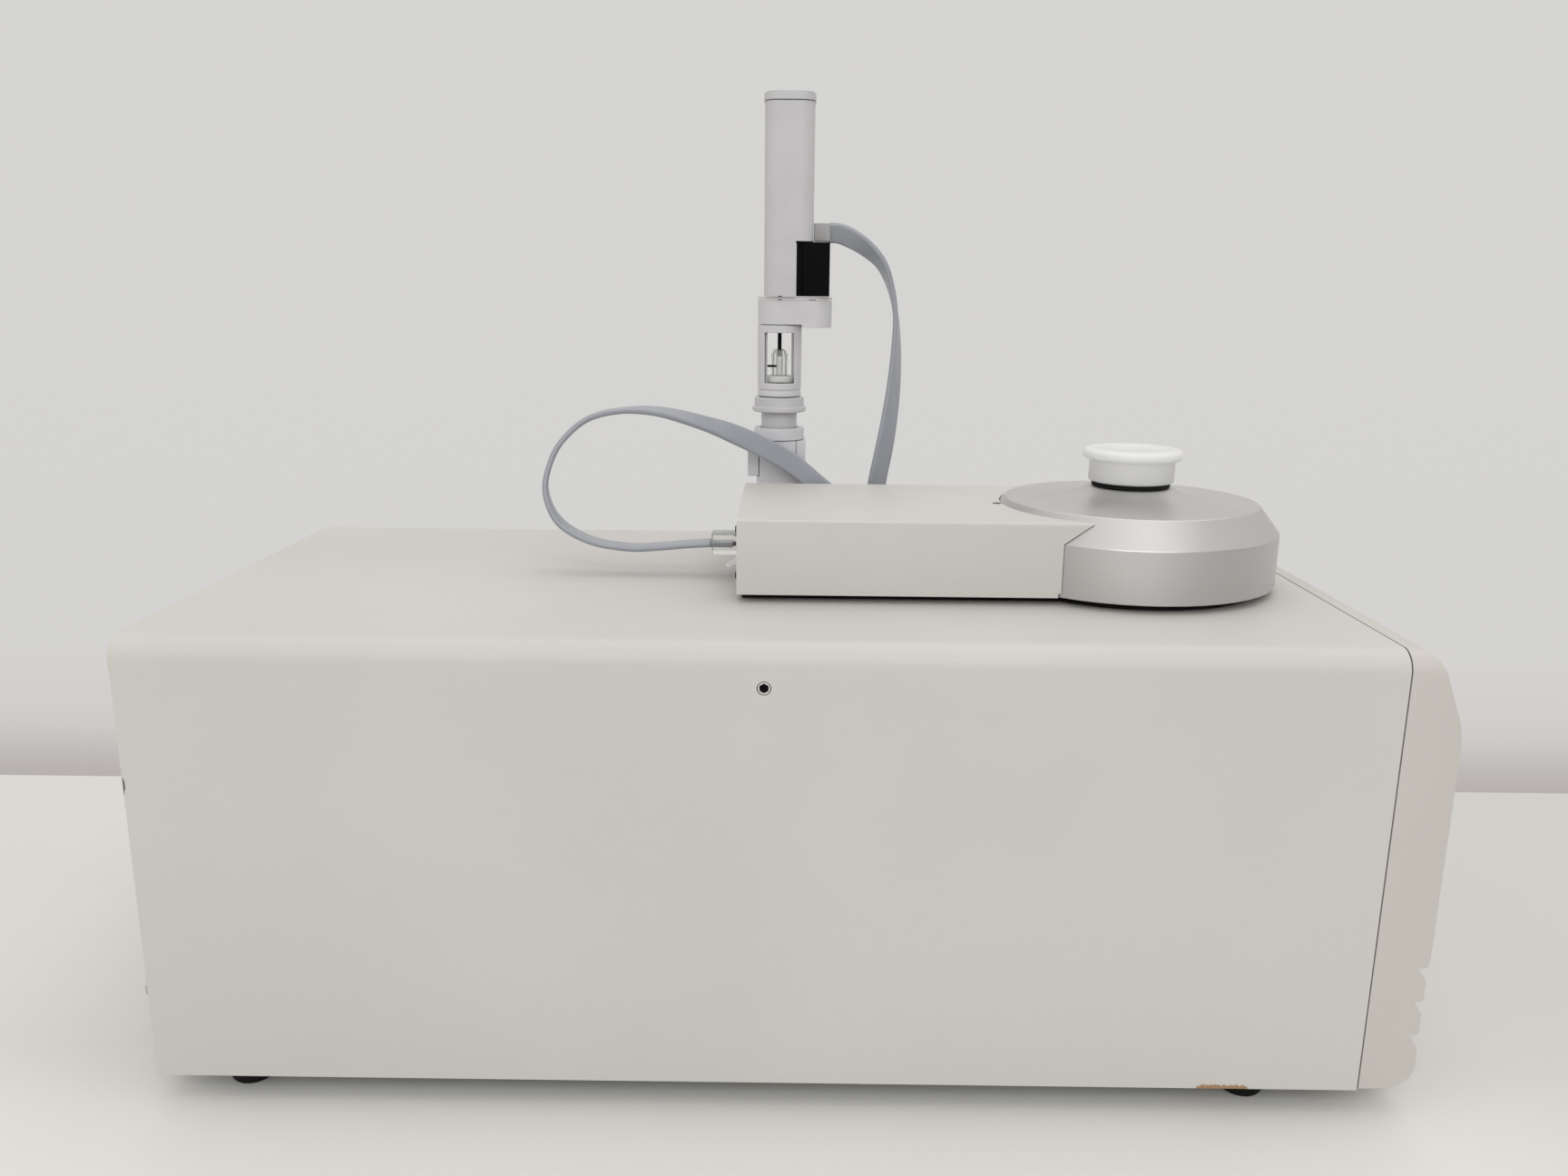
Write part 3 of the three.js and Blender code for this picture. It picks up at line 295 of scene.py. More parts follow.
def textured_paint(name, color, grain=PAINT_GRAIN, depth=PAINT_DEPTH, roughness=PAINT_ROUGHNESS):
    """Fine-texture powder coat: an even warm grey, pebbled, with faint handling marks."""
    look = Look(name, ior=1.5)
    tone = look.cloudy(color, 9, 0.975, 1.02)
    look.set(
        base_color=look.stain(tone, look.specks(24 * MM, 0.9 * MM, 0.35), 0.75, GRIME),
        roughness=look.drift(30, *roughness, detail=4.0),
        normal=look.bump(look.noise(grain, 3.0), depth),
    )
    return look


def cover_paint():
    """The cover's coat, with rust below, chips and a dent on the rear edge, dust by the plug."""
    look = Look("cover_paint", ior=1.5)
    x, _, z = look.axes(look.place)
    tone = look.cloudy(PAINT, 7, 0.975, 1.02)
    tone = look.stain(tone, look.specks(30 * MM, 0.9 * MM, 0.3), 0.75, GRIME)

    DUST_REACH = 45 * MM
    plug_low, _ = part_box("arm_plug")
    by_plug = look.near((plug_low.x + 4 * MM, 0.0, COVER_HIGH.z), DUST_REACH)
    dust = look.product(look.specks(5 * MM, 0.9 * MM, 0.42), by_plug)
    tone = look.stain(tone, dust, 0.8, DARK_SPECK)

    RUST_X, RUST_REACH, RUST_RISE = 0.162, 12 * MM, 3.4 * MM
    off_centre = look.math("ABSOLUTE", look.math("SUBTRACT", x, RUST_X))
    along = look.span(off_centre, RUST_REACH * 0.6, RUST_REACH, 1, 0)
    above = look.span(z, COVER_LOW.z, COVER_LOW.z + RUST_RISE, 1, 0)
    rusty = look.product(along, above, look.noise(900, 4.0))
    flaked = look.span(rusty, 0.24, 0.32)
    tone = look.stain(tone, flaked, 0.85, RUST)

    EDGE_REACH = 2.6 * MM
    DENT_Z, DENT_REACH = 0.1225, 6 * MM
    edge = look.span(x, COVER_LOW.x, COVER_LOW.x + EDGE_REACH, 1, 0)
    chips = look.span(look.product(edge, look.noise(85, 5.0)), 0.60, 0.66)
    by_dent = look.near((COVER_LOW.x, COVER_LOW.y, DENT_Z), DENT_REACH)
    dent = look.span(look.product(edge, by_dent, look.noise(520, 3.0)), 0.22, 0.27)
    tone = look.stain(tone, chips, 0.6, GRIME)
    tone = look.stain(tone, dent, 0.9, DARK_SPECK)

    FLAKE_DEPTH = 0.08 * MM
    worn = look.math("MAXIMUM", chips, dent)
    pebbled = look.bump(look.noise(PAINT_GRAIN, 3.0), PAINT_DEPTH)
    look.set(
        base_color=tone,
        roughness=look.drift(30, *PAINT_ROUGHNESS, detail=4.0),
        normal=look.bump(look.math("MAXIMUM", flaked, worn), FLAKE_DEPTH, onto=pebbled),
    )
    return look


def blasted_aluminium():
    """Finely blasted, clear-anodised aluminium with a few handling marks."""
    look = Look("blasted_aluminium", metallic=1.0)
    tone = look.cloudy(linear(206, 204, 204), 16, 0.97, 1.02)
    look.set(
        base_color=look.stain(tone, look.specks(34 * MM, 0.7 * MM, 0.4), 0.5, GRIME),
        roughness=look.drift(40, 0.36, 0.44),
        normal=look.bump(look.noise(2600, 2.0), 0.012 * MM),
    )
    return look


def satin_grey(name, color):
    """Pale grey satin coating on small machined parts."""
    look = Look(name, ior=1.5)
    tone = look.cloudy(color, 55, 0.97, 1.02)
    look.set(
        base_color=look.stain(tone, look.specks(14 * MM, 0.5 * MM, 0.25), 0.5, GRIME),
        roughness=look.drift(120, 0.36, 0.46),
        normal=look.bump(look.noise(3200, 2.0), 0.008 * MM),
    )
    return look


def moulded(name, color, roughness=(0.4, 0.55), grain=1800, depth=0.01 * MM, **sockets):
    """Moulded plastic, rubber or ceramic with a fine surface texture."""
    look = Look(name, **sockets)
    look.set(
        base_color=look.cloudy(color, 60, 0.92, 1.06),
        roughness=look.drift(90, *roughness),
        normal=look.bump(look.noise(grain, 2.0), depth),
    )
    return look


def brushed(name, color, roughness=(0.25, 0.4), stretch=(40, 900, 900)):
    """Bare metal with a drawn grain along one axis."""
    look = Look(name, metallic=1.0)
    grain = look.noise(1.0, 3.0, stretch)
    look.set(
        base_color=look.mix(grain, shade(color, 0.88), shade(color, 1.06)),
        roughness=look.span(grain, 0.3, 0.7, *roughness),
        normal=look.bump(grain, 0.01 * MM),
    )
    return look


def cable_pvc():
    """Silver-grey PVC jacket with a slight sheen and faint scuffs."""
    look = Look("cable_pvc", ior=1.5, coat_weight=0.4, coat_roughness=0.18)
    base = linear(148, 151, 159)
    scuffs = look.span(look.noise(180, 4.0), 0.58, 0.75)
    tone = look.cloudy(base, 25, 0.96, 1.03, detail=2.0)
    look.set(
        base_color=look.stain(tone, scuffs, 0.15, shade(base, 1.2)),
        roughness=look.drift(70, 0.3, 0.4),
        normal=look.bump(look.noise(1500, 2.0), 0.01 * MM),
    )
    return look


def clear(name, color, roughness, ior=1.49, transmission=0.92):
    """Clear moulding, with the faint waviness of a moulded surface."""
    look = Look(name, base_color=color, ior=ior, transmission_weight=transmission)
    look.set(
        roughness=look.drift(300, roughness, roughness + 0.06, detail=2.0),
        normal=look.bump(look.noise(400, 1.0), 0.02 * MM),
    )
    return look


def translucent_white():
    """Milky white plastic that lets a little light through."""
    look = Look("translucent_white", ior=1.46, transmission_weight=0.1, subsurface_weight=0.7)
    look.set(subsurface_scale=0.014, subsurface_radius=(1, 1, 1))
    base = linear(228, 228, 226)
    scratches = look.span(look.noise(1.0, 3.0, (60, 60, 900)), 0.62, 0.72)
    look.set(
        base_color=look.stain(base, scratches, 0.12, shade(base, 0.86)),
        roughness=look.drift(90, 0.3, 0.42),
        normal=look.bump(look.noise(700, 2.0), 0.01 * MM),
    )
    return look


def circuit_board():
    """Green solder mask over a grid of raised copper tracks."""
    TRACK_PITCH = 2400  # radians a metre, about a track each 2.6 mm
    look = Look("circuit_board", ior=1.5)
    x, y, _ = look.axes(look.place)

    def tracks(axis, patches):
        wave = look.math("SINE", look.math("MULTIPLY", axis, TRACK_PITCH))
        return look.product(wave, look.noise(patches, 1.0))

    laid = look.span(look.math("MAXIMUM", tracks(x, 130), tracks(y, 90)), 0.42, 0.46)
    look.set(
        base_color=look.mix(laid, linear(18, 72, 42), linear(40, 112, 66)),
        roughness=look.span(laid, 0, 1, 0.45, 0.3),
        normal=look.bump(laid, 0.05 * MM),
    )
    return look


BLACK = linear(5, 5, 6)
SOOT = linear(18, 18, 18)
MACHINED = linear(188, 189, 190)
UPRIGHT_GRAIN = (300, 300, 60)
SHEET_GRAIN = (60, 300, 300)

LOOKS = {
    "cover_paint": cover_paint(),
    "painted_sheet": textured_paint("arm_paint", PAINT),
    "front_moulding": textured_paint("front_moulding", MOULDING, 1300, 0.03 * MM, (0.44, 0.54)),
    "zinc_sheet": brushed("zinc_sheet", linear(176, 178, 178), (0.35, 0.5), SHEET_GRAIN),
    "satin_aluminium": blasted_aluminium(),
    "cast_aluminium": brushed("machined_aluminium", MACHINED, (0.3, 0.42), UPRIGHT_GRAIN),
    "head_grey": satin_grey("head_grey", linear(202, 201, 203)),
    "anodised_grey": satin_grey("anodised_grey", linear(193, 192, 194)),
    "holder_grey": satin_grey("holder_grey", linear(206, 205, 209)),
    "black_plastic": moulded("black_plastic", BLACK, specular_ior_level=0.06),
    "black_rubber": moulded(
        "black_rubber", SOOT, (0.7, 0.85), 1200, 0.03 * MM, specular_ior_level=0.2
    ),
    "white_plastic": translucent_white(),
    "clear_plastic": clear("clear_plastic", linear(252, 252, 251), 0.02, 1.36, 0.98),
    "plug_plastic": clear("plug_plastic", linear(188, 186, 190), 0.2, transmission=0.3),
    "borosilicate": clear("borosilicate", linear(246, 249, 249), 0.02, 1.47, 0.97),
    "bright_steel": brushed("bright_steel", linear(196, 197, 199)),
    "blackened_steel": brushed("blackened_steel", linear(52, 52, 54), (0.35, 0.5)),
    "cable_grey": cable_pvc(),
    "board_green": circuit_board(),
    "gold_alloy": brushed("gold_alloy", linear(214, 172, 92), (0.22, 0.35), UPRIGHT_GRAIN),
    "ceramic": moulded("ceramic", linear(232, 229, 220), (0.6, 0.75)),
    "copper_contact": brushed("copper_contact", linear(222, 178, 96), (0.2, 0.32)),
}

# ---------------------------------------------------------------- mesh helpers

SMOOTH_ANGLE = math.radians(34)  # edges sharper than this are rounded, gentler ones shade smooth
FLAT_ANGLE = math.radians(0.4)  # faces that meet flatter than this are made one
WELD_DISTANCE = 0.001 * MM
# Stands an outline of X and Y up in X and Z, and its height along -Y.
STOOD_UP = Matrix(((1, 0, 0, 0), (0, 0, -1, 0), (0, 1, 0, 0), (0, 0, 0, 1)))


def add_object(name, mesh):
    made = bpy.data.objects.new(name, mesh)
    bpy.context.scene.collection.objects.link(made)
    return made


def soften(obj, width, weld=True):
    """Rounds an object's sharp edges and shades the rest smooth."""
    mesh = obj.data
    if "custom_normal" in mesh.attributes:
        mesh.attributes.remove(mesh.attributes["custom_normal"])
    mesh.polygons.foreach_set("use_smooth", [True] * len(mesh.polygons))
    if weld:
        obj.modifiers.new("weld", "WELD").merge_threshold = WELD_DISTANCE
        flat = obj.modifiers.new("flat", "DECIMATE")
        flat.decimate_type = "DISSOLVE"
        flat.angle_limit = FLAT_ANGLE
    bevel = obj.modifiers.new("edges", "BEVEL")
    bevel.limit_method = "ANGLE"
    bevel.angle_limit = SMOOTH_ANGLE
    bevel.width = width
    bevel.segments = 2
    bevel.harden_normals = True
    bevel.miter_outer = "MITER_ARC"


def dress(obj, look, body, edge=None):
    """Gives a new piece its material and its body, and rounds its edges."""
    obj.data.materials.clear()
    obj.data.materials.append(LOOKS[look].material)
    if edge is not None:
        soften(obj, edge, weld=False)
    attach(obj, body)
    return obj


def from_bmesh(name, made):
    bmesh.ops.recalc_face_normals(made, faces=made.faces)
    mesh = bpy.data.meshes.new(name)
    made.to_mesh(mesh)
    made.free()
    return add_object(name, mesh)


def add_box(made, low, high):
    low, high = Vector(low), Vector(high)
    place = Matrix.Translation((low + high) / 2) @ Matrix.Diagonal((*(high - low), 1))
    bmesh.ops.create_cube(made, size=1, matrix=place)


def add_lathe(made, profile, matrix, sides):
    """Turns a profile of (radius, height) in millimetres about the Z axis of matrix."""
    rings = []
    for radius, height in profile:
        if radius == 0:
            rings.append([made.verts.new(matrix @ Vector((0, 0, height * MM)))] * sides)
            continue
        turns = [2 * math.pi * i / sides for i in range(sides)]
        ring = [Vector((radius * math.cos(a), radius * math.sin(a), height)) * MM for a in turns]
        rings.append([made.verts.new(matrix @ p) for p in ring])
    for low, high in zip(rings, rings[1:]):
        for i in range(sides):
            corners = [low[i], low[(i + 1) % sides], high[(i + 1) % sides], high[i]]
            face = list(dict.fromkeys(corners))
            if len(face) > 2:
                made.faces.new(face)
    for ring in (rings[0], rings[-1]):
        if len(set(ring)) > 1 and rings[0] is not rings[-1]:
            made.faces.new(ring)


def closed(profile):
    return [*profile, profile[0]]


def lathe_object(name, profile, centre, sides=64):
    made = bmesh.new()
    add_lathe(made, profile, Matrix.Translation((*centre, 0)), sides)
    bmesh.ops.remove_doubles(made, verts=made.verts, dist=WELD_DISTANCE / 2)
    return from_bmesh(name, made)


def facing(point, direction):
    """A placement whose Z axis points along direction from point."""
    turn = Vector(direction).to_track_quat("Z", "Y").to_matrix()
    return Matrix.Translation(point) @ turn.to_4x4()


def add_screw(made, matrix, radius, height):
    """A socket cap screw's head, standing on matrix's XY plane, with its hexagonal recess."""
    ROUND, HEX = 24, 6
    socket = radius * 0.5
    floor = height - height * 0.65
    shoulder = [(radius, 0), (radius, height * 0.75), (radius * 0.85, height)]
    add_lathe(made, [(0, 0), *shoulder, (socket * 1.25, height)], matrix, ROUND)
    add_lathe(made, [(socket, height * 0.99), (socket, floor), (0, floor)], matrix, HEX)


def prism(made, outline, low, high, matrix=Matrix.Identity(4)):
    """A straight-sided solid of an outline in X and Y, from height low to high."""
    ends = [[made.verts.new(matrix @ Vector((x, y, z))) for x, y in outline] for z in (low, high)]
    made.faces.new(ends[0])
    made.faces.new(ends[1])
    for i in range(len(outline)):
        j = (i + 1) % len(outline)
        made.faces.new([ends[0][i], ends[0][j], ends[1][j], ends[1][i]])


# ---------------------------------------------------------------- the flat cable


def smooth_route(rows, steps):
    """A centripetal Catmull-Rom curve through the rows, as its points and width directions."""
    points = [Vector(row[:3]) * MM for row in rows]
    widths = [Vector(row[3:]) for row in rows]
    padded = [2 * points[0] - points[1], *points, 2 * points[-1] - points[-2]]
    centres, across = [], []
    for i in range(len(points) - 1):
        p0, p1, p2, p3 = padded[i : i + 4]
        d0, d1, d2 = ((b - a).length ** 0.5 for a, b in ((p0, p1), (p1, p2), (p2, p3)))
        leave = ((p1 - p0) / d0 - (p2 - p0) / (d0 + d1) + (p2 - p1) / d1) * d1
        arrive = ((p2 - p1) / d1 - (p3 - p1) / (d1 + d2) + (p3 - p2) / d2) * d1
        for k in range(steps):
            t = k / steps
            centres.append(
                p1 * (2 * t**3 - 3 * t**2 + 1)
                + leave * (t**3 - 2 * t**2 + t)
                + p2 * (3 * t**2 - 2 * t**3)
                + arrive * (t**3 - t**2)
            )
            across.append(widths[i].lerp(widths[i + 1], t))
    return [*centres, points[-1]], [*across, widths[-1]]


def cable_section():
    """Half-round edges and eight faint ridges over the conductors, as (across, thick) pairs."""
    RIDGE = 0.05 * MM
    EDGE_STEPS = 6
    PER_CONDUCTOR = 4
    thick = CABLE_THICKNESS / 2
    radius = thick * 0.85
    flat = CABLE_WIDTH / 2 - radius
    section = []
    for side in (1, -1):
        count = CONDUCTORS * PER_CONDUCTOR
        for k in range(count + 1):
            share = k / count
            ridge = RIDGE * (math.cos(2 * math.pi * CONDUCTORS * share) + 1) / 2
            section.append((side * flat * (1 - 2 * share), side * (thick - ridge)))
        for k in range(1, EDGE_STEPS):
            turn = math.pi * k / EDGE_STEPS
            bulge = flat + radius * math.sin(turn)
            section.append((-side * bulge, side * thick * math.cos(turn)))
    return section


def make_cable():
    STEPS = 12  # between two rows of the route
    centres, across = smooth_route((CABLE_START, *CABLE_ROUTE), STEPS)
    section = cable_section()
    made = bmesh.new()
    rings = []
    for i, centre in enumerate(centres):
        ahead = centres[min(i + 1, len(centres) - 1)] - centres[max(i - 1, 0)]
        tangent = ahead.normalized()
        wide = (across[i] - tangent * across[i].dot(tangent)).normalized()
        thick = tangent.cross(wide)
        rings.append([made.verts.new(centre + wide * a + thick * b) for a, b in section])
    for low, high in zip(rings, rings[1:]):
        for i in range(len(section)):
            j = (i + 1) % len(section)
            made.faces.new([low[i], low[j], high[j], high[i]])
    made.faces.new(rings[0])
    made.faces.new(rings[-1])
    cable = from_bmesh("flat_cable", made)
    cable.data.polygons.foreach_set("use_smooth", [True] * len(cable.data.polygons))
    cable.data.materials.append(LOOKS["cable_grey"].material)
    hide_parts("signal_cable")
    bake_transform(cable)
    return cable, centres


cable, cable_centres = make_cable()

# ---------------------------------------------------------------- the two clear plugs


def conductor_places(middle_y, pitch):
    """How far across a plug each conductor lies."""
    return [middle_y + (i - (CONDUCTORS - 1) / 2) * pitch for i in range(CONDUCTORS)]


def make_contacts(name, body, places, half, x, z):
    """A plug's row of flat gilt contacts."""
    made = bmesh.new()
    for y in places:
        add_box(made, (x[0], y - half, z[0]), (x[1], y + half, z[1]))
    return dress(from_bmesh(name, made), "copper_contact", body, 0.04 * MM)


def make_arm_plug():
    """A modular plug: stepped clear body, latch, eight blades, and the jacket and cores inside."""
    BODY_HEIGHT = 8.3 * MM
    THROAT = 9 * MM  # how far the cable's jacket reaches in, where the body's top steps down
    STEP_DOWN, STEP_RUN = 1.2 * MM, 3 * MM
    (x0, y0, _), (x1, y1, z1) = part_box("arm_plug")
    z0 = z1 - BODY_HEIGHT
    step = x0 + THROAT
    shelf = z1 - STEP_DOWN
    outline = ((x0, z0), (x1, z0), (x1, shelf), (step + STEP_RUN, shelf), (step, z1), (x0, z1))
    latch = [
        (x1 - 0.5 * MM, z0 + 0.5 * MM),
        (x1 - 0.5 * MM, z0 - 0.8 * MM),
        (x1 - 11 * MM, z0 - 3.1 * MM),
        (x0 + 5.6 * MM, z0 - 6.7 * MM),
        (x0 + 5.2 * MM, z0 - 5.7 * MM),
        (x1 - 11.3 * MM, z0 - 1.9 * MM),
        (x1 - 2.5 * MM, z0 + 0.5 * MM),
    ]
    LATCH_HALF = 3 * MM
    made = bmesh.new()
    prism(made, outline, -y1, -y0, STOOD_UP)
    prism(made, latch, -LATCH_HALF, LATCH_HALF, STOOD_UP)
    body = from_bmesh("arm_plug_body", made)
    dress(body, "clear_plastic", "root", 0.25 * MM)
    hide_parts("arm_plug")

    places = conductor_places(0, 1.02 * MM)
    blade_x = (x1 - 6 * MM, x1 - 1 * MM)
    blade_z = (z0 + 0.6 * MM, z0 + 4 * MM)
    blades = make_contacts("arm_plug_contacts", "root", places, 0.15 * MM, blade_x, blade_z)

    end = cable_centres[-1]
    OVERLAP = 0.4 * MM
    half_width, half_height = CABLE_WIDTH / 2 - 0.3 * MM, CABLE_THICKNESS / 2 - 0.15 * MM
    jacket = bmesh.new()
    low = (end.x - OVERLAP, -half_width, end.z - half_height)
    add_box(jacket, low, (step, half_width, end.z + half_height))
    sleeve = from_bmesh("arm_plug_jacket", jacket)
    dress(sleeve, "cable_grey", "root", 0.5 * MM)

    CORE_RADIUS, CORE_LENGTH = 0.42, 10.5
    rod = [(0, 0), (CORE_RADIUS, 0), (CORE_RADIUS, CORE_LENGTH), (0, CORE_LENGTH)]
    cores = bmesh.new()
    for y in places:
        add_lathe(cores, rod, facing((step - 1 * MM, y, end.z), (1, 0, 0)), 12)
    wires = from_bmesh("arm_plug_cores", cores)
    dress(wires, "blackened_steel", "root", 0.05 * MM)
    return [body, blades, sleeve, wires]


def make_pipette_plug():
    """The small grey-clear plug on the pipette, with one bevelled edge and eight contacts."""
    (x0, y0, z0), (x1, y1, z1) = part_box("pipette_plug")
    BEVEL = 0.9 * MM
    outline = [(x0, z0), (x1, z0), (x1, z1 - BEVEL), (x1 - BEVEL, z1), (x0, z1)]
    made = bmesh.new()
    prism(made, outline, -y1, -y0, STOOD_UP)
    body = from_bmesh("pipette_plug_body", made)
    dress(body, "plug_plastic", "pipette", 0.3 * MM)
    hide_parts("pipette_plug")

    places = conductor_places((y0 + y1) / 2, 0.75 * MM)
    blade_x = (x0 + 0.6 * MM, x0 + 5 * MM)
    blade_z = (z0 + 1 * MM, z1 - 2 * MM)
    blades = make_contacts("pipette_plug_contacts", "pipette", places, 0.14 * MM, blade_x, blade_z)
    return [body, blades]


plug_pieces = [*make_arm_plug(), *make_pipette_plug()]

# ---------------------------------------------------------------- CAD nodes that keep their shape

# Each look with the width in millimetres that its edges are rounded by, and the nodes it is on.
CAD_FINISHES = (
    ("cover_paint", 0.35, "cover"),
    ("painted_sheet", 0.15, "cover_screw_left cover_screw_right"),
    ("painted_sheet", 0.3, "rear_panel arm_housing arm_end_plate"),
    ("front_moulding", 0.5, "front_panel"),
    ("zinc_sheet", 0.2, "base_pan power_supply"),
    ("satin_aluminium", 0.35, "port_cover"),
    ("cast_aluminium", 0.3, "heat_sink cell_jacket"),
    ("anodised_grey", 0.25, "pipette_tube pipette_cap pipette_nose lock_ring"),
    ("head_grey", 0.25, "drive_head head_lid window_frame spin_cage"),
    ("holder_grey", 0.3, "holder_base holder_block holder_clamp_rear holder_clamp_front"),
    ("holder_grey", 0.3, "holder_collar"),
    ("black_plastic", 0.2, "mains_inlet power_switch fan_frame fan_rotor arm_jack"),
    ("black_plastic", 0.2, "driven_pulley motor_pulley"),
    ("black_plastic", 0.15, "plunger_motor plunger_rod"),
    ("black_rubber", 0.15, "arm_gasket port_seal drive_belt"),
    ("white_plastic", 0.2, "syringe_base holder_tube"),
    ("clear_plastic", 0.1, "syringe_holder"),
    ("borosilicate", 0.05, "syringe_glass"),
    ("bright_steel", 0.15, "rear_screw_left rear_screw_right data_socket"),
    ("bright_steel", 0.08, "lead_screw stir_needle"),
    ("board_green", 0.1, "control_board"),
    ("gold_alloy", 0.15, "sample_cell reference_cell"),
    ("ceramic", 0.2, "peltier_module"),
)

for look, width, names in CAD_FINISHES:
    for name in names.split():
        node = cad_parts[name]
        node.data.materials.clear()
        node.data.materials.append(LOOKS[look].material)
        soften(node, width * MM)

# ---------------------------------------------------------------- pieces that replace plain CAD


def make_cell_plug():
    """The milky plug in the cell port: a soft-edged cap on a rounded rim."""
    SEAL_GAP = 0.3
    low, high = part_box("cell_plug")
    seal_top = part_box("port_seal")[1].z / MM + SEAL_GAP
    foot, top = low.z / MM, high.z / MM
    profile = [
        (0, foot),
        (9.6, foot),
        (10.7, foot + 1.1),
        (10.7, seal_top),
        (16.2, seal_top),
        (16.8, seal_top + 0.3),
        (17.0, seal_top + 0.9),
        (17.0, seal_top + 8.4),
        (17.3, seal_top + 8.9),
        (18.8, seal_top + 9.2),
        (19.5, seal_top + 9.7),
        (19.8, seal_top + 10.5),
        (19.8, seal_top + 11.8),
        (19.5, seal_top + 12.6),
        (18.8, seal_top + 13.1),
        (17.8, top - 0.25),
        (15.4, top),
        (14.6, top - 0.4),
        (0, top - 0.5),
    ]
    plug = lathe_object("port_plug", profile, PORT_AXIS, 96)
    dress(plug, "white_plastic", "plug", 0.2 * MM)
    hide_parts("cell_plug")


def make_stir_motor():
    """The small gearmotor: a plain block with a moulded parting groove up each side."""
    (x0, y0, z0), (x1, y1, z1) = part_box("stir_motor")
    GROOVE_X, GROOVE_HALF, GROOVE_DEPTH = x0 + 2.6 * MM, 0.2 * MM, 0.3 * MM
    left, right = GROOVE_X - GROOVE_HALF, GROOVE_X + GROOVE_HALF
    outline = []
    for sign, edge in ((1, y0), (-1, y1)):
        floor = edge + sign * GROOVE_DEPTH
        side = [(x0, edge), (left, edge), (left, floor), (right, floor), (right, edge), (x1, edge)]
        outline += side[::sign]
    made = bmesh.new()
    prism(made, outline, z0, z1)
    motor = from_bmesh("stir_motor_case", made)
    dress(motor, "black_plastic", "pipette", 0.15 * MM)
    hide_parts("stir_motor")


def make_feet():
    """Rubber feet with a dished sole and the screw that holds each one."""
    BORE, DISH, DISH_TOP = 2.0, 3.2, 3.4
    SCREW_Z, SCREW_RADIUS, SCREW_HEIGHT = 3.3 * MM, 2.9, 1.6
    for name in ("foot_rear_left", "foot_rear_right", "foot_front_left", "foot_front_right"):
        low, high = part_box(name)
        centre = ((low + high) / 2).xy
        top = high.z / MM
        profile = [
            (DISH, DISH_TOP),
            (DISH, 0.5),
            (3.7, 0),
            (6.6, 0),
            (7.5, 0.35),
            (8.0, 1.1),
            (8.8, top - 0.8),
            (8.8, top),
            (BORE, top),
            (BORE, DISH_TOP),
        ]
        foot = lathe_object(f"{name}_pad", closed(profile), centre, 48)
        dress(foot, "black_rubber", "root", 0.15 * MM)
        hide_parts(name)
        made = bmesh.new()
        add_screw(made, facing((*centre, SCREW_Z), (0, 0, -1)), SCREW_RADIUS, SCREW_HEIGHT)
        screw = from_bmesh(f"{name}_screw", made)
        dress(screw, "bright_steel", "root", 0.1 * MM)


def make_fan_guard():
    """The fan's wire finger guard: five rings on four spokes."""
    RINGS, RING_GAP, RING_SIDES = 5, 6.6, 56
    SPOKES, SPOKE_RADIUS, SPOKE_START = 4, 0.7, 8
    WIRE_SIDES = 8
    (x0, y0, z0), (x1, y1, z1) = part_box("fan_guard")
    centre = Vector(((x0 + x1) / 2, (y0 + y1) / 2, (z0 + z1) / 2))
    outer = (y1 - y0) / 2 / MM
    wire = (x1 - x0) / 2 / MM
    made = bmesh.new()
    turns = [2 * math.pi * k / WIRE_SIDES for k in range(WIRE_SIDES)]
    section = [(wire * 0.8 * math.cos(a), wire * 0.8 * math.sin(a)) for a in turns]
    for i in range(RINGS):
        radius = outer - wire - i * RING_GAP
        ring = [(radius + out, height) for out, height in section]
        add_lathe(made, closed(ring), facing(centre, (1, 0, 0)), RING_SIDES)
    span = (SPOKE_START, outer - 1.2)
    spoke = [(0, span[0]), (SPOKE_RADIUS, span[0]), (SPOKE_RADIUS, span[1]), (0, span[1])]
    for i in range(SPOKES):
        turn = math.pi / 4 + i * 2 * math.pi / SPOKES
        out = Vector((0, math.cos(turn), math.sin(turn)))
        add_lathe(made, spoke, facing(centre, out), 10)
    guard = dress(from_bmesh("fan_guard_wire", made), "bright_steel", "root")
    guard.data.polygons.foreach_set("use_smooth", [True] * len(guard.data.polygons))
    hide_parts("fan_guard")


# ---------------------------------------------------------------- small fittings


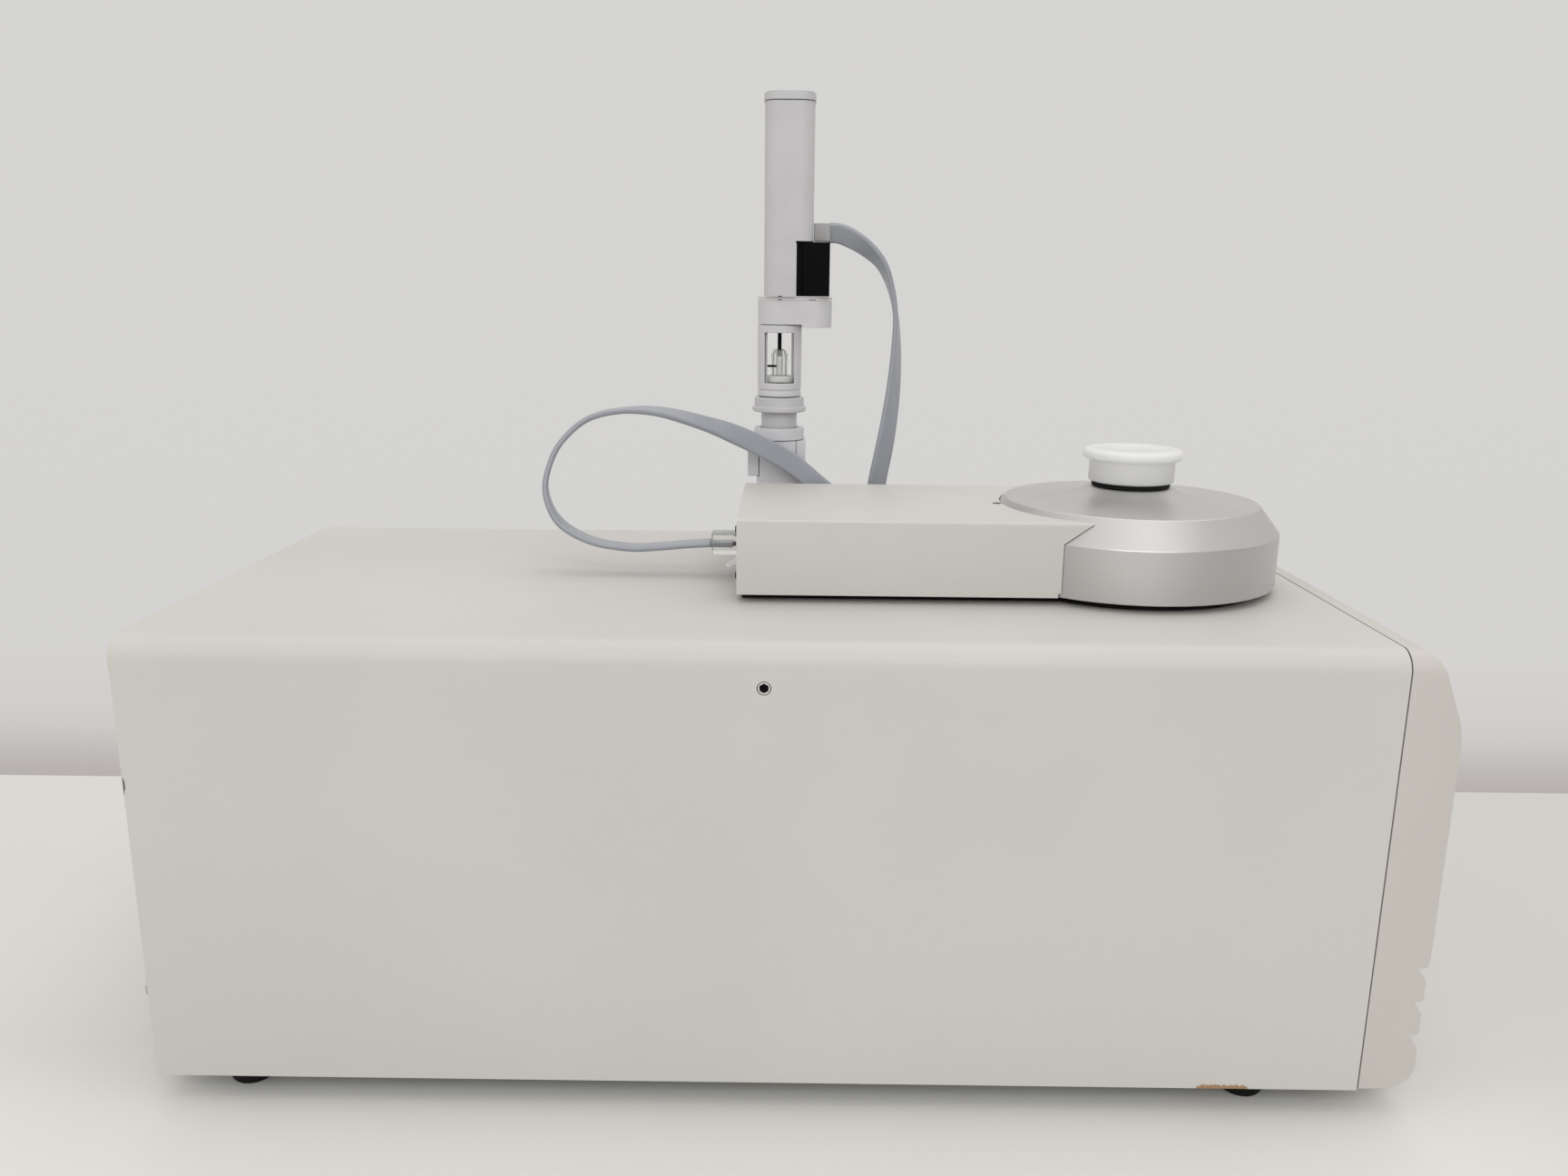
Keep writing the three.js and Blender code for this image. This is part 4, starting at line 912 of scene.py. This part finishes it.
def make_rear_fittings():
    """Screws on the rear panel, the inlet's blades and the data socket's tongue."""
    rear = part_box("rear_panel")[0].x
    SUNK = 0.05 * MM
    SCREW_RADIUS, SCREW_HEIGHT = 2.6, 1.6
    FAN_HOLE = 35.75 * MM
    fan = middle("fan_frame")
    places = [(fan.y + sy * FAN_HOLE, fan.z + sz * FAN_HOLE) for sy in (-1, 1) for sz in (-1, 1)]
    places += [(y * MM, z * MM) for y in (-97, -20, 97) for z in (20, 165)]
    screws = bmesh.new()
    for y, z in places:
        add_screw(screws, facing((rear + SUNK, y, z), (-1, 0, 0)), SCREW_RADIUS, SCREW_HEIGHT)
    heads = from_bmesh("rear_panel_screws", screws)
    dress(heads, "bright_steel", "root", 0.1 * MM)

    INLET_Z = 45 * MM
    INLET_DEPTH, BLADE_LENGTH = 14.9 * MM, 12 * MM
    BLADE_HALF = Vector((0, 1 * MM, 2.2 * MM))
    inlet_y = middle("mains_inlet").y
    floor = rear + INLET_DEPTH
    blades = bmesh.new()
    for dy, dz in ((-7, -2.2), (7, -2.2), (0, 1.8)):
        root = Vector((floor, inlet_y + dy * MM, INLET_Z + dz * MM))
        tip = root - Vector((BLADE_LENGTH, 0, 0))
        add_box(blades, tip - BLADE_HALF, root + BLADE_HALF)
    pins = from_bmesh("mains_inlet_blades", blades)
    dress(pins, "bright_steel", "root", 0.3 * MM)

    TONGUE_X = (1.5 * MM, 10.2 * MM)
    TONGUE_HALF = Vector((0, 2.8 * MM, 2.6 * MM))
    socket = middle("data_socket")
    low, high = (Vector((rear + x, socket.y, socket.z)) for x in TONGUE_X)
    tongue = bmesh.new()
    add_box(tongue, low - TONGUE_HALF, high + TONGUE_HALF)
    insert = from_bmesh("data_socket_tongue", tongue)
    dress(insert, "white_plastic", "root", 0.2 * MM)


def make_arm_fittings():
    """Small dark screws on the arm's end plate and the one sunk in the arm's top."""
    SUNK = 0.05 * MM
    END_SCREW = {"radius": 1.5, "height": 0.9}
    TOP_SCREW = {"radius": 1.9, "height": 1.2}
    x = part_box("arm_end_plate")[0].x
    z_mid = (ARM_LOW.z + ARM_HIGH.z) / 2
    made = bmesh.new()
    for y in (-37, -14, 14, 37):
        for dz in (-9, 9):
            place = (x + SUNK, y * MM, z_mid + dz * MM)
            add_screw(made, facing(place, (-1, 0, 0)), **END_SCREW)
    heads = from_bmesh("arm_end_screws", made)
    dress(heads, "blackened_steel", "root", 0.08 * MM)

    place = (PORT_AXIS.x - 54.6 * MM, -2 * MM, ARM_HIGH.z - 1.3 * MM)
    made = bmesh.new()
    add_screw(made, facing(place, (0, 0, 1)), **TOP_SCREW)
    head = from_bmesh("arm_top_screw", made)
    dress(head, "black_plastic", "root", 0.08 * MM)


def make_syringe_fittings():
    """The drive pin in the pipette's window."""
    PIN_RADIUS, PIN_LENGTH = 0.5, 5
    PIN_Z = 258.4 * MM
    x, y = SYRINGE_AXIS
    start = (x - 6.2 * MM, y - 2.4 * MM, PIN_Z)
    rod = [(0, 0), (PIN_RADIUS, 0), (PIN_RADIUS, PIN_LENGTH), (0, PIN_LENGTH)]
    made = bmesh.new()
    add_lathe(made, rod, facing(start, (1, 0, 0)), 16)
    pin = from_bmesh("syringe_pin", made)
    dress(pin, "black_plastic", "stirrer", 0.05 * MM)


def make_screw_socket_shade():
    """A black fill in the hexagonal recess of each cover screw: painted shade for the shadow
    inside the socket.
    """
    SUNK = 0.5 * MM
    HEX = 6
    fill = [(0, -1.2), (1.7, -1.2), (1.7, -0.25), (1.5, 0), (0, 0)]
    for side, sign in (("left", -1), ("right", 1)):
        screw = middle(f"cover_screw_{side}")
        face = sign * (COVER_HIGH.y - SUNK)
        made = bmesh.new()
        # The black fill is painted shade for the shadow at the bottom of the socket.
        add_lathe(made, fill, facing((screw.x, face, screw.z), (0, sign, 0)), HEX)
        recess = from_bmesh(f"cover_screw_socket_shade_{side}", made)
        dress(recess, "black_plastic", "root", 0.05 * MM)


def make_seam_shade_strip():
    """A dark strip in the seam between the cover and the front panel: painted shade for the shadow
    in the gap.
    """
    SIDE_SINK, TOP_SINK = 1.1 * MM, 0.12 * MM  # below the cover's surface
    WIDTH = 0.7 * MM
    BEND = 8 * MM
    STEPS = 8
    x = (COVER_HIGH.x + 0.04 * MM, COVER_HIGH.x + 0.46 * MM)

    def arch(deeper):
        """The strip's line up one side, over the deck and down the other."""
        edge = COVER_HIGH.y - SIDE_SINK - deeper
        top = COVER_HIGH.z - TOP_SINK - deeper
        radius = BEND - SIDE_SINK - deeper
        turns = [math.pi / 2 * k / STEPS for k in range(STEPS + 1)]
        centre_y, centre_z = edge - radius, top - radius
        right = [(centre_y + radius * math.cos(a), centre_z + radius * math.sin(a)) for a in turns]
        left = [(-y, z) for y, z in reversed(right)]
        foot = COVER_LOW.z + 1 * MM
        return [(edge, foot), *right, *left, (-edge, foot)]

    outer, inner = arch(0), arch(WIDTH)
    made = bmesh.new()
    loops = [[made.verts.new((px, y, z)) for y, z in line] for px in x for line in (outer, inner)]
    quads = ((0, 1), (1, 3), (3, 2), (2, 0))
    for i in range(len(outer) - 1):
        for a, b in quads:
            made.faces.new([loops[a][i], loops[a][i + 1], loops[b][i + 1], loops[b][i]])
    for i in (0, -1):
        made.faces.new([loops[k][i] for k in (0, 1, 3, 2)])
    # The black strip is painted shade, standing in for the shadow inside the seam.
    strip = from_bmesh("seam_shade_strip", made)
    dress(strip, "blackened_steel", "root", 0.04 * MM)


make_cell_plug()
make_stir_motor()
make_feet()
make_fan_guard()
make_rear_fittings()
make_arm_fittings()
make_syringe_fittings()
make_screw_socket_shade()
make_seam_shade_strip()

# ---------------------------------------------------------------- floor, light and background

# Each light's name, place, target, size and watts.
LIGHTS = (
    ("ceiling", (0.35, 0.4, 2.0), (0.1, 0, 0.1), (2.0, 1.4), 8),
    ("window", (0.05, -1.6, 1.15), (0, -0.2, 0.05), (1.4, 1.0), 10.5),
)
FLOOR = linear(216, 215, 211)
BELOW_TABLE = linear(216, 215, 210)

# Colours by steepness: the slope of a flat wall behind, the height of direction in the room.
WALL_STOPS = (
    (-0.425, BELOW_TABLE),
    # The darker band from -0.415 to -0.345 is painted shade at the foot of the wall, just above
    # the table's far edge.
    (-0.415, linear(181, 176, 175)),
    (-0.399, linear(187, 182, 181)),
    (-0.382, linear(196, 192, 189)),
    (-0.366, linear(204, 202, 198)),
    (-0.345, linear(209, 207, 204)),
    (-0.29, linear(212, 211, 209)),
    (0.30, linear(214, 213, 211)),
    (0.80, linear(232, 231, 228)),
)
ROOM_STOPS = (
    (-0.10, linear(178, 177, 175)),
    (0.15, linear(208, 208, 206)),
    (0.50, linear(236, 236, 234)),
    (0.90, linear(244, 243, 240)),
)


def make_floor():
    """A table top with its far edge behind the case, lighter by the case and darker to the right:
    painted light and painted shade.
    """
    HALF_SIZE, THICKNESS, FAR_EDGE = 4, 0.03, 0.201
    PAINTED_LIGHT_STRIP, PAINTED_SHADE_END = (-0.07, -0.12), (0.22, 0.36)
    made = bmesh.new()
    add_box(made, (-HALF_SIZE, -HALF_SIZE, -THICKNESS), (HALF_SIZE, FAR_EDGE, 0))
    floor = from_bmesh("floor", made)
    look = Look("floor_laminate", ior=1.45)
    x, y, _ = look.axes(look.place)
    smudges = look.span(look.noise(5, 4.0), 0.35, 0.7)
    tone = look.mix(smudges, shade(FLOOR, 1.01), shade(FLOOR, 0.985))
    # Painted light: the floor's colour is made lighter in front of the case, against the case's
    # shadow.
    tone = look.mix(look.span(y, *PAINTED_LIGHT_STRIP), tone, shade(FLOOR, 1.1))
    # Painted shade: the floor's colour is made darker towards the right.
    tone = look.mix(look.span(x, *PAINTED_SHADE_END), tone, shade(FLOOR, 0.88))
    look.set(base_color=tone, roughness=look.drift(12, 0.5, 0.62, detail=4.0))
    floor.data.materials.append(look.material)


def make_world():
    """A pale room: a wall behind, a darker room in front, and a brighter ceiling over both."""
    WALL_NEAREST = 0.75  # keeps the wall's slope from running away at the sides
    TO_FRONT, FRONT_DIMMED = (0.2, 0.9), 0.6
    WALL_TO_ROOM = (0.15, -0.35)
    world = bpy.data.worlds.new("room")
    world.use_nodes = True
    sky = Graph(world.node_tree)
    x, y, z = sky.axes(sky.node("ShaderNodeTexCoord").outputs["Generated"])

    def ramp(stops, steepness):
        """Colours by a steepness from -1 to 1."""
        made = sky.node("ShaderNodeValToRGB")
        elements = made.color_ramp.elements
        while len(elements) < len(stops):
            elements.new(0.5)
        for element, (at, color) in zip(elements, stops):
            element.position = (at + 1) / 2
            element.color = color
        sky.feed(made.inputs[0], sky.math("ADD", sky.product(steepness, 0.5), 0.5))
        return made.outputs["Color"]

    wall = ramp(WALL_STOPS, sky.math("DIVIDE", z, sky.math("MAXIMUM", y, WALL_NEAREST)))
    room = sky.node("ShaderNodeVectorMath", operation="SCALE")
    sky.feed(room.inputs[0], ramp(ROOM_STOPS, z))
    sky.feed(room.inputs["Scale"], sky.span(x, *TO_FRONT, 1.0, FRONT_DIMMED))
    both = sky.mix(sky.span(y, *WALL_TO_ROOM), wall, room.outputs[0])
    sky.feed(sky.tree.nodes["Background"].inputs["Color"], both)
    bpy.context.scene.world = world


def area_light(name, place, target, size, power):
    light = bpy.data.lights.new(name, "AREA")
    light.shape = "RECTANGLE"
    light.size, light.size_y = size
    light.energy = power
    lamp = bpy.data.objects.new(name, light)
    aim = (Vector(target) - Vector(place)).to_track_quat("-Z", "Y")
    lamp.matrix_world = Matrix.Translation(place) @ aim.to_matrix().to_4x4()
    bpy.context.scene.collection.objects.link(lamp)


make_floor()
make_world()
for row in LIGHTS:
    area_light(*row)
bpy.context.scene.view_settings.view_transform = "Standard"
